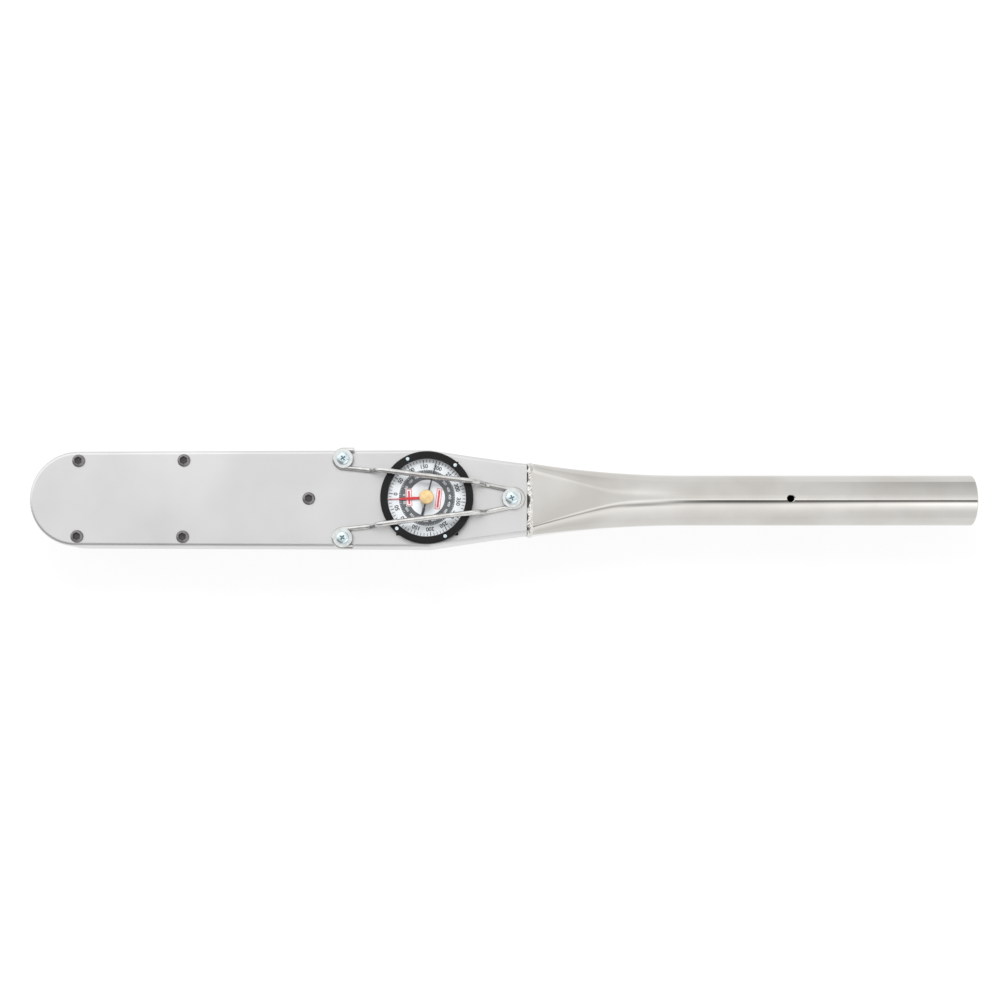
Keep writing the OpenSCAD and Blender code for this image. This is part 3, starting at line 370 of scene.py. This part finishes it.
edges = [neckRing(tubeLow.x, inset, 40) for inset in (0, -bead["over"], bead["under"])]
base, over, under = spread(edges, bead["spacing"])
outward = [(b - a).normalized() for a, b in zip(base, over)]
bm = bmesh.new()
rings = []
for row in range(bead["rows"] + 1):
    u = row / bead["rows"]
    x = weldLow.x + (weldHigh.x - weldLow.x) * u
    arch = math.sin(math.pi * u)
    ring = []
    for (_, y, z), out in zip(base, outward):
        lump = noise.noise(Vector((x, y, z)) / bead["ripple"]) * bead["uneven"]
        wave = bead["wave"] * math.sin((y - bead["lean"] * (x - weldLow.x)) * 2 * math.pi / bead["ripple"])
        pit = pitted(y, z)
        sunk = min(1, bead["pitGain"] * pit) / (1 + math.exp(((x - weldLow.x) / mm - pit) / bead["pitEdge"]))
        fill = min(1, max(bead["least"], bead["level"] + lump + wave)) * (1 - bead["pitDepth"] * sunk)
        height = bead["crown"] * arch * fill
        drift = bead["drift"] * noise.noise(Vector((y, z, bead["driftPlace"])) / bead["driftSize"]) * arch
        rise = out * (bead["root"] * (1 - arch) + height)
        ring.append((x + drift, y + rise.y, z + rise.z))
    rings.append(ring)
rings += [[(weldHigh.x, y, z) for _, y, z in under], [(weldLow.x, y, z) for _, y, z in under]]
skin(bm, rings, loop=True)
piece("weldBead", bm, "housing", "weld_metal", ["weld_bead"], sharp=60)

# Painted shade: a thin ragged dark strip along the groove between bead and shell, widening at the pits,
# stands in for the shade there
grooveShade = dict(start=0.05 * mm, least=0.02 * mm, most=2.4 * mm, proud=0.30 * mm, thick=0.06 * mm,
            ragged=(  # height, size and place in the noise
                (0.35 * mm, 1.3 * mm, 8.4), (0.3 * mm, 5.5 * mm, 3.1)))
bm = bmesh.new()
bands = [[], [], [], []]
for (_, y, z), out in zip(base, outward):
    ragged = sum(tall * noise.noise(Vector((y, z, spot)) / size) for tall, size, spot in grooveShade["ragged"])
    width = min(grooveShade["most"], max(grooveShade["least"], ragged + pitted(y, z) * mm))
    for band, (across, up) in zip(bands, ((0, 0), (width, 0), (width, 1), (0, 1))):
        lift = out * (grooveShade["proud"] + grooveShade["thick"] * up)
        band.append((weldLow.x + grooveShade["start"] + across, y + lift.y, z + lift.z))
skin(bm, bands, loop=True)
piece("weldGrooveShade", bm, "housing", "weld_metal", finish="grooveShade")
print("weld bead made")

# Guard: one bent wire with two open eyes and a U end
guardLow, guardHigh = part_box("guard_wire")
guard = dict(wire=3.9 * mm, eyeX=200 * mm, eyeY=29.7 * mm, eyeTurn=6.55 * mm, tail=8.1 * mm, riseX=221 * mm,
             fallX=306 * mm, rise=6 * mm, midY=15.8 * mm, slope=0.1235, uX=327.5 * mm, uTurn=6.7 * mm,
             bend=4 * mm, dialX=262.8 * mm, sides=28,
             spots=((200, 29.7), (200, -29.7), (326, 0)))  # its three screws, in mm
wireEnd = ((0.55, 0.0), (0.85, 0.13), (1.0, 0.36))  # rounded end: share of the radius, and how far in
lowZ = guardLow.z + guard["wire"] / 2
crestZ = guardHigh.z - guard["wire"] / 2


def legPoint(x, z):
    return Vector((x, guard["midY"] - guard["slope"] * (x - guard["dialX"]), z))


def bent(a, b, c, steps=14):
    p = b + (a - b).normalized() * guard["bend"]
    q = b + (c - b).normalized() * guard["bend"]
    return [p * (1 - t) ** 2 + b * 2 * t * (1 - t) + q * t * t for t in (i / steps for i in range(steps + 1))]


def arc(x, y, radius, degrees):
    angles = [math.radians(d) for d in degrees]
    return [Vector((x + radius * math.cos(a), y + radius * math.sin(a), lowZ)) for a in angles]


eyeEnd = Vector((guard["eyeX"], guard["eyeY"] - guard["eyeTurn"], lowZ))
foot, crest = legPoint(guard["riseX"], lowZ), legPoint(guard["riseX"] + guard["rise"], crestZ)
farCrest, farFoot = legPoint(guard["fallX"] - guard["rise"], crestZ), legPoint(guard["fallX"], lowZ)
uStart = Vector((guard["uX"] - guard["wire"], guard["uTurn"], lowZ))
half = [Vector((guard["eyeX"] + guard["tail"], guard["eyeY"] + guard["eyeTurn"], lowZ))]
half += arc(guard["eyeX"], guard["eyeY"], guard["eyeTurn"], [90 + 180 * i / 48 for i in range(49)])
marks = [eyeEnd, foot, crest, farCrest, farFoot, uStart]
for i in range(len(marks) - 2):
    half += bent(*marks[i:i + 3])
half += [uStart] + arc(guard["uX"], 0, guard["uTurn"], [90 - 90 * i / 24 for i in range(24)])
path = half + [Vector((guard["uX"] + guard["uTurn"], 0, lowZ))]
path += [Vector((p.x, -p.y, p.z)) for p in reversed(half)]


def wireRings(path, radius, sides):
    rings = []
    side = Vector((0, 0, 1))
    for i, p in enumerate(path):
        way = (path[min(i + 1, len(path) - 1)] - path[max(i - 1, 0)]).normalized()
        side = (side - way * side.dot(way)).normalized()
        other = way.cross(side)
        ends = [(1.0, 0)]
        if i == 0:
            ends = wireEnd
        elif i == len(path) - 1:
            ends = [(grow, -step) for grow, step in reversed(wireEnd)]
        for grow, step in ends:
            rings.append([p + way * step * radius + (side * math.cos(a) + other * math.sin(a)) * radius * grow
                          for a in (2 * math.pi * k / sides for k in range(sides))])
    return rings


bm = bmesh.new()
skin(bm, wireRings(path, guard["wire"] / 2, guard["sides"]))
piece("guardWire", bm, "housing", "guard_steel", ["guard_wire"])
print("guard made")


# Screws with real drive recesses
def hexagon(reach):
    return lambda a: reach / math.cos((a + math.pi / 6) % (math.pi / 3) - math.pi / 6)


def cross(reach, width, turn):
    def edge(a):
        arms = []
        for k in (0, math.pi / 2):
            c, s = abs(math.cos(a - turn - k)), abs(math.sin(a - turn - k))
            arms.append(min(reach / max(c, 1e-6), width / max(s, 1e-6)))
        return max(arms)
    return edge


def dome(radius, low, rise, inner, steps=8):
    reach = [radius + (inner - radius) * i / steps for i in range(steps + 1)]
    return [(r, low + rise * math.sqrt(max(0, 1 - (r / radius) ** 2))) for r in reach]


button = dict(radius=4.75 * mm, edge=0.15 * mm, shank=2.5 * mm, length=12 * mm, skirt=0.75 * mm,
              rise=1.8 * mm, brim=3.25 * mm, key=2.7 * mm, keyEdge=0.05 * mm, keyDepth=1.5 * mm,
              point=0.9 * mm, pointDepth=1.75 * mm,
              spots=((1, 28.4), (1, -28.4), (80, 28.7), (80, -28.7), (174, 0)))  # in mm
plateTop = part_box("front_shell")[1].z
bm = bmesh.new()
for x, y in button["spots"]:
    profile = [(button["shank"], plateTop - button["length"]), (button["shank"], plateTop),
               (button["radius"] - button["edge"], plateTop), (button["radius"], plateTop + button["edge"])]
    profile += dome(button["radius"], plateTop + button["skirt"], button["rise"], button["brim"])
    brim = profile[-1][1]
    profile += [(hexagon(button["key"]), brim - button["keyEdge"]),
                (hexagon(button["key"] - button["keyEdge"]), brim - button["keyDepth"]),
                (button["point"], brim - button["pointDepth"])]
    skin(bm, turned((x * mm, y * mm), profile), recessShade=2)
# The hex sockets' walls and floors take the second finish, painted shade for the hollow
piece("housingScrews", bm, "housing", "black_oxide", ["housing_screws"], second="recessShade")

pan = dict(radius=4.7 * mm, shank=2.0 * mm, skirt=1.0 * mm, rise=1.5 * mm, brim=2.8 * mm, arm=2.05 * mm,
           width=0.50 * mm, armEdge=0.02 * mm, armDepth=1.3 * mm, armTaper=0.5, widthTaper=0.8,
           turns=(0.6, 0.95, 0.35))  # how far each is screwed round, in radians
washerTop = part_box("guard_washers")[1].z
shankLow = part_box("guard_screws")[0].z
bm = bmesh.new()
for (x, y), turn in zip(guard["spots"], pan["turns"]):
    profile = [(pan["shank"], shankLow), (pan["shank"], washerTop), (pan["radius"], washerTop)]
    profile += dome(pan["radius"], washerTop + pan["skirt"], pan["rise"], pan["brim"])
    brim = profile[-1][1]
    arm, width = pan["arm"] * pan["armTaper"], pan["width"] * pan["widthTaper"]
    profile += [(cross(pan["arm"], pan["width"], turn), brim - pan["armEdge"]),
                (cross(arm, width, turn), brim - pan["armDepth"])]
    skin(bm, turned((x * mm, y * mm), profile, 160), recessShade=1)
# The cross recesses take the second finish, painted shade for the hollow
piece("guardScrews", bm, "housing", "zinc", ["guard_screws"], sharp=40, second="zincRecessShade")

washer = dict(radius=7.2 * mm, bore=2.05 * mm, edge=0.18 * mm)
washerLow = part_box("guard_washers")[0].z
bm = bmesh.new()
r, b, e = washer["radius"], washer["bore"], washer["edge"]
for x, y in guard["spots"]:
    skin(bm, turned((x * mm, y * mm), [
        (b, washerLow), (r - e, washerLow), (r, washerLow + e),
        (r, washerTop - e), (r - e, washerTop), (b, washerTop)], 120), loop=True)
piece("guardWashers", bm, "housing", "zinc", ["guard_washers"], finish="washerZinc")
print("screws made")

# Dial face: a white ring read both ways, a grey ring with a finer scale, and two red and white bars
faceLow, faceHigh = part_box("dial_face")
dial = dict(x=262.8 * mm, radius=30.2 * mm, hole=2.2 * mm, zero=173.1, ink=0.02 * mm,
            bandOuter=20.9 * mm, bandInner=13.4 * mm)
outerScale = dict(step=180 / 35, edge=28.6 * mm, long=2.9 * mm, short=2.1 * mm, longWidth=0.30 * mm,
                  shortWidth=0.20 * mm, textReach=23.4 * mm, text=4.1 * mm, bold=0.03)
innerScale = dict(step=180 / 35 * 0.7376, edge=20.8 * mm, long=1.4 * mm, short=0.8 * mm, longWidth=0.11 * mm,
                  shortWidth=0.11 * mm, textReach=17.0 * mm, text=2.5 * mm, bold=0.012)
centre = (dial["x"], 0)
bm = bmesh.new()
skin(bm, turned(centre, [(dial["hole"], faceLow.z), (dial["radius"], faceLow.z),
                         (dial["radius"], faceHigh.z), (dial["hole"], faceHigh.z)], 160), loop=True)
piece("dialFace", bm, "bezel_ring", "dial_print", ["dial_face"])
bandTop = faceHigh.z + dial["ink"]
bm = bmesh.new()
skin(bm, turned(centre, [(dial["bandInner"], faceHigh.z), (dial["bandOuter"], faceHigh.z),
                         (dial["bandOuter"], bandTop), (dial["bandInner"], bandTop)], 160), loop=True)
piece("dialBand", bm, "bezel_ring", "dial_print", finish="inkGrey")


def tick(bm, degrees, inner, outer, width, low):
    a = math.radians(degrees)
    along, over = Vector((math.cos(a), math.sin(a))), Vector((-math.sin(a), math.cos(a)))
    ends = ((inner, -width), (outer, -width), (outer, width), (inner, width))
    points = [along * r + over * w for r, w in ends]
    skin(bm, outlined([(dial["x"] + p.x, p.y) for p in points], low, low + dial["ink"]))


def numeral(bm, words, degrees, reach, size, low, bold):
    curve = bpy.data.curves.new("numeral", "FONT")
    curve.body, curve.size = words, size
    curve.align_x, curve.align_y = "CENTER", "CENTER"
    curve.extrude = dial["ink"] / 2
    curve.offset = size * bold
    holder = bpy.data.objects.new("numeral", curve)
    scene.collection.objects.link(holder)
    mesh = bpy.data.meshes.new_from_object(holder.evaluated_get(bpy.context.evaluated_depsgraph_get()))
    a = math.radians(degrees)
    spot = Vector((dial["x"] + reach * math.cos(a), reach * math.sin(a), low + dial["ink"] / 2))
    mesh.transform(Matrix.Translation(spot) @ Matrix.Rotation(a - math.pi / 2, 4, "Z"))
    bm.from_mesh(mesh)
    bpy.data.objects.remove(holder)
    bpy.data.meshes.remove(mesh)


# Prints one scale: a long tick at every fifth step, and numerals both ways from zero
def printed(bm, scale, steps, numerals, shared, low):
    for k in steps:
        major = k % 5 == 0
        inner = scale["edge"] - scale["long" if major else "short"]
        width = scale["longWidth" if major else "shortWidth"]
        tick(bm, dial["zero"] + k * scale["step"], inner, scale["edge"], width, low)
    for k in range(numerals):
        for side in ((1,) if k in shared else (1, -1)):
            degrees = dial["zero"] - side * k * 5 * scale["step"]
            numeral(bm, str(50 * k), degrees, scale["textReach"], scale["text"], low, scale["bold"])


bm = bmesh.new()
printed(bm, outerScale, range(-34, 36), 8, (0, 7), faceHigh.z)
piece("dialInk", bm, "bezel_ring", "dial_print", finish="inkBlack")

bm = bmesh.new()
printed(bm, innerScale, range(-47, 48), 10, (0,), bandTop)
piece("dialWhiteInk", bm, "bezel_ring", "dial_print", finish="inkWhite")


def bar(bm, offset, size, corner, turn, low):
    points = []
    for sideX, sideY, a in corners(8):
        p = Vector((sideX * (size[0] / 2 - corner) + corner * math.cos(a),
                    sideY * (size[1] / 2 - corner) + corner * math.sin(a)))
        p.rotate(Matrix.Rotation(turn, 2))
        points.append((dial["x"] + offset[0] + p.x, offset[1] + p.y))
    skin(bm, outlined(points, low, low + dial["ink"]))


# Place from the dial's centre, size and turn of each bar, then the four inks laid one on another
bars = [((-13.3 * mm, 0.2 * mm), (4.2 * mm, 12.4 * mm), 0.05),
        ((8.6 * mm, -0.8 * mm), (4.0 * mm, 15.6 * mm), -0.12)]
barInks = [("dialBarBorders", lambda w, h: (w + 0.7 * mm, h + 0.7 * mm), 0.7 * mm, "inkWhite"),
           ("dialBars", lambda w, h: (w, h), 0.5 * mm, "inkRed"),
           ("dialBarCentres", lambda w, h: (w - 1.0 * mm, h - 1.0 * mm), 0.3 * mm, "inkWhite"),
           ("dialBarStripes", lambda w, h: (1.5 * mm, h - 2.4 * mm), 0.3 * mm, "inkRed")]
for layer, (name, sized, corner, ink) in enumerate(barInks):
    bm = bmesh.new()
    for offset, size, turn in bars:
        bar(bm, offset, sized(*size), corner, turn, bandTop + layer * dial["ink"])
    piece(name, bm, "bezel_ring", "dial_print", finish=ink)
print("dial made")


# Hands: where each points at rest, and its outline as distance along and half width, in mm
pointerHand = dict(degrees=182.5, outline=(
    (-3.8, 0.8), (0, 1.5), (8, 0.9), (9.5, 1.15), (19.5, 0.75), (21, 0.3), (28.7, 0.16)))
memoryHand = dict(degrees=75.3, thick=0.4 * mm, outline=(
    (-13.9, 0.95), (-8.5, 1.0), (-7.5, 0.6), (0, 1.3), (7, 0.55), (20, 0.42), (28.2, 0.28)))


def hand(name, body, slotName, standsFor, shape, low, high):
    a = math.radians(shape["degrees"])
    outline = shape["outline"]
    points = [(r, -w) for r, w in outline] + [(r, w) for r, w in reversed(outline)]
    spun = [(dial["x"] + (r * math.cos(a) - w * math.sin(a)) * mm, (r * math.sin(a) + w * math.cos(a)) * mm)
            for r, w in points]
    bm = bmesh.new()
    skin(bm, outlined(spun, low, high))
    piece(name, bm, body, slotName, standsFor)


low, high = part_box("pointer")
hand("pointerHand", "pointer", "pointer_red", ["pointer"], pointerHand, low.z, high.z)
low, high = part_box("memory_pointer")
hand("memoryHand", "memory", "pointer_black", ["memory_pointer"], memoryHand, low.z,
     low.z + memoryHand["thick"])

knobLow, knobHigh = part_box("reset_knob")
knob = dict(radius=5.4 * mm, stem=1.5 * mm, height=4.8 * mm, flutes=40, depth=0.16 * mm, edge=0.7 * mm,
            footEdge=0.5 * mm, footRise=0.4 * mm, lip=0.2 * mm, crownRise=0.5 * mm,
            edgeAngles=(0.4, 0.8, 1.2, 1.57),
            crown=((3.2, 0.2), (1.6, 0.04), (0.3, 0)))  # radius and drop from the top, in mm


def fluted(reach):
    return lambda a: reach - knob["depth"] * (0.5 + 0.5 * math.cos(a * knob["flutes"]))


knobFoot, brimZ = knobHigh.z - knob["height"], knobHigh.z - knob["crownRise"]
flutes = fluted(knob["radius"])
profile = [(knob["stem"], knobLow.z), (knob["stem"], knobFoot), (knob["radius"] - knob["footEdge"], knobFoot),
           (flutes, knobFoot + knob["footRise"]), (flutes, brimZ - knob["edge"])]
profile += [(knob["radius"] - knob["lip"] - knob["edge"] * (1 - math.cos(a)),
             brimZ - knob["edge"] * (1 - math.sin(a))) for a in knob["edgeAngles"]]
profile += [(r * mm, knobHigh.z - drop * mm) for r, drop in knob["crown"]]
bm = bmesh.new()
skin(bm, turned(centre, profile, 320))
piece("resetKnob", bm, "memory", "brass", ["reset_knob"])
print("hands made")

# Deflection beam: a straight bar with rounded edges, laid from the hub to the anchor
beamLow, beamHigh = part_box("deflection_beam")
beam = dict(rows=80, edge=0.8 * mm, cornerSteps=5)
beamY = beamHigh.y - beam["edge"]
beamZ, beamRise = (beamLow.z + beamHigh.z) / 2, (beamHigh.z - beamLow.z) / 2 - beam["edge"]
section = [(sideY * beamY + beam["edge"] * math.cos(a), beamZ + sideZ * beamRise + beam["edge"] * math.sin(a))
           for sideY, sideZ, a in corners(beam["cornerSteps"])]
bm = bmesh.new()
rings = []
for i in range(beam["rows"] + 1):
    x = beamLow.x + (beamHigh.x - beamLow.x) * i / beam["rows"]
    rings.append([(x, y, z) for y, z in section])
skin(bm, rings)
beamPiece = piece("beamBar", bm, None, "spring_steel", ["deflection_beam"])
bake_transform(beamPiece)
print("beam made")

# Detent spring: squeezed between the bore's floor and the ball
springLow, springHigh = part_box("detent_spring")
spring = dict(wire=0.6 * mm, turns=5, steps=24, sides=12)
coil = (springHigh.z - springLow.z - spring["wire"]) / 2
springZ = (springLow.z + springHigh.z) / 2
first, last = springLow.y + spring["wire"] / 2, springHigh.y - spring["wire"] / 2
coilSteps = spring["turns"] * spring["steps"]
coilPath = []
for i in range(coilSteps + 1):
    a = 2 * math.pi * i / spring["steps"]
    y = first + (last - first) * i / coilSteps
    coilPath.append(Vector((coil * math.sin(a), y, springZ + coil * math.cos(a))))
bm = bmesh.new()
skin(bm, wireRings(coilPath, spring["wire"] / 2, spring["sides"]))
springPiece = piece("detentCoil", bm, None, "spring_steel", ["detent_spring"])
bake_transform(springPiece)
print("detent spring made")

# Studio: a wrap of soft light. Its level changes with the angle round the object's long axis, and from one
# zone to the next along that axis, as cards and flags beside the object would make it.
studio = dict(peak=2.2, keyPower=15.0, keySize=0.55, keyPlace=(0.20, 0.85, 1.30), keyAim=(0.27, 0, 0.04),
              floorGlow=0.90, floorTones=("#555555", "#5d5d5d"), floorMottle=25 * mm,
              floorZ=-0.3 * mm)
world = bpy.data.worlds.new("studio")
scene.world = world
world.use_nodes = True
tree = world.node_tree
tree.nodes.clear()
toward = add(tree, "SeparateXYZ", {0: add(tree, "TexCoord").outputs["Generated"]})
angle = add(tree, "Math", {0: toward.outputs[1], 1: toward.outputs[2]}, operation="ARCTAN2").outputs[0]
share = add(tree, "MapRange", {"Value": angle, "From Min": -math.pi, "From Max": math.pi}).outputs[0]


def levelRamp(levels):
    made = add(tree, "ValToRGB", {0: share})
    stops = made.color_ramp.elements
    stops.remove(stops[-1])
    for number, (degrees, level) in enumerate(levels.items()):
        stop = stops[0] if number == 0 else stops.new((degrees + 180) / 360)
        stop.position = (degrees + 180) / 360
        stop.color = (level, level, level, 1)
    return made.outputs[0]


def gateFrom(start, end):
    return add(tree, "MapRange", {"Value": toward.outputs[0], "From Min": start, "From Max": end}).outputs[0]


# Light level at each angle in degrees, 0 being straight up
headLevels = {-180: 1.0, -90: 0.80, -60: 0.38, -30: 0.22, -10: 0.58, 5: 1.06, 20: 1.56, 35: 1.66,
              60: 1.25, 88: 1.0}
neckLevels = {-180: 1.05, -92: 1.12, -60: 1.16, -34: 1.30, -30: 1.22, -25: 0.46, -20: 0.42, -15: 0.80,
              -12: 1.15, -8: 1.42, -3: 1.35, 1: 1.05, 8: 1.02, 16: 1.12, 28: 1.36, 45: 1.22, 60: 1.16,
              88: 1.14}
middleLevels = {-180: 1.02, -84: 1.05, -60: 1.12, -50: 1.18, -40: 1.26, -30: 1.34, -22: 1.20, -15: 0.66,
                -11: 0.62, -7: 1.05, -3: 1.52, 0: 1.42, 6: 1.15, 16: 1.14, 22: 1.04, 45: 1.02, 65: 1.02,
                88: 1.02, 180: 1.0}
tubeLevels = {-180: 0.85, -84: 0.95, -60: 0.97, -50: 1.06, -40: 1.25, -30: 1.52, -20: 1.82, -11: 1.68,
              0: 1.28, 12: 1.08, 26: 0.92, 45: 0.86, 65: 0.76, 88: 0.70, 180: 0.75}
stripLevels = {-180: 1.0, -20: 1.0, -15: 0.75, -10: 0.26, -6: 0.08, -4: 0.08, -2.4: 1.0}  # black flag
zones = ((-0.01, 0.03, neckLevels), (0.075, 0.12, middleLevels), (0.17, 0.27, tubeLevels))
stripGate = (0.09, 0.135)
glow = levelRamp({d: v / studio["peak"] for d, v in headLevels.items()})
for start, end, levels in zones:
    shown = levelRamp({d: v / studio["peak"] for d, v in levels.items()})
    glow = add(tree, "Mix", {0: gateFrom(start, end), 6: glow, 7: shown}, data_type="RGBA").outputs[2]
flag = add(tree, "Mix", {0: gateFrom(*stripGate), 6: (1, 1, 1, 1), 7: levelRamp(stripLevels)},
           data_type="RGBA").outputs[2]
glow = add(tree, "Mix", {0: 1.0, 6: glow, 7: flag}, data_type="RGBA", blend_type="MULTIPLY").outputs[2]
add(tree, "OutputWorld", {0: add(tree, "Background", {0: glow, 1: studio["peak"]}).outputs[0]})

key = bpy.data.lights.new("key", "AREA")  # soft key from behind, for the shadow below
key.energy, key.size = studio["keyPower"], studio["keySize"]
keyLamp = bpy.data.objects.new("key", key)
keyLamp.location = studio["keyPlace"]
keyLamp.rotation_euler = (Vector(studio["keyAim"]) - keyLamp.location).to_track_quat("-Z", "Y").to_euler()
keyLamp.visible_glossy = False
scene.collection.objects.link(keyLamp)

paper = bpy.data.materials.new("paper")  # seamless white sweep
paper.use_nodes = True
tree = paper.node_tree
tree.nodes.clear()
paperPlace = add(tree, "TexCoord").outputs["Object"]
mottle = add(tree, "TexNoise", {"Vector": paperPlace, "Scale": 1 / studio["floorMottle"]}).outputs[0]
darker, lighter = [linear(tone) for tone in studio["floorTones"]]
tone = add(tree, "Mix", {0: mottle, 6: darker, 7: lighter}, data_type="RGBA").outputs[2]
matt = add(tree, "BsdfDiffuse", {"Color": tone}).outputs[0]
lit = add(tree, "Emission", {"Color": linear("#ffffff"), "Strength": studio["floorGlow"]}).outputs[0]
add(tree, "OutputMaterial", {0: add(tree, "AddShader", {0: matt, 1: lit}).outputs[0]})
floorMesh = bpy.data.meshes.new("floor")
floorCorners = [(x, y, studio["floorZ"]) for x, y in ((-6, -6), (7, -6), (7, 6), (-6, 6))]
floorMesh.from_pydata(floorCorners, [], [(0, 1, 2, 3)])
floorMesh.materials.append(paper)
floor = bpy.data.objects.new("floor", floorMesh)
scene.collection.objects.link(floor)

view = dict(lens=56.38, tilt=5.0, reach=1.190, target=(0.3172, 0.0004, 0.041))
lens = bpy.data.cameras.new("camera")
lens.lens = view["lens"]
lens.clip_start, lens.clip_end = 0.05, 30
camera = bpy.data.objects.new("camera", lens)
tilt = math.radians(view["tilt"])
camera.location = Vector(view["target"]) + view["reach"] * Vector((0, -math.sin(tilt), math.cos(tilt)))
camera.rotation_euler = (tilt, 0, 0)
scene.collection.objects.link(camera)
scene.camera = camera
scene.view_settings.view_transform = "Standard"
print("studio made")
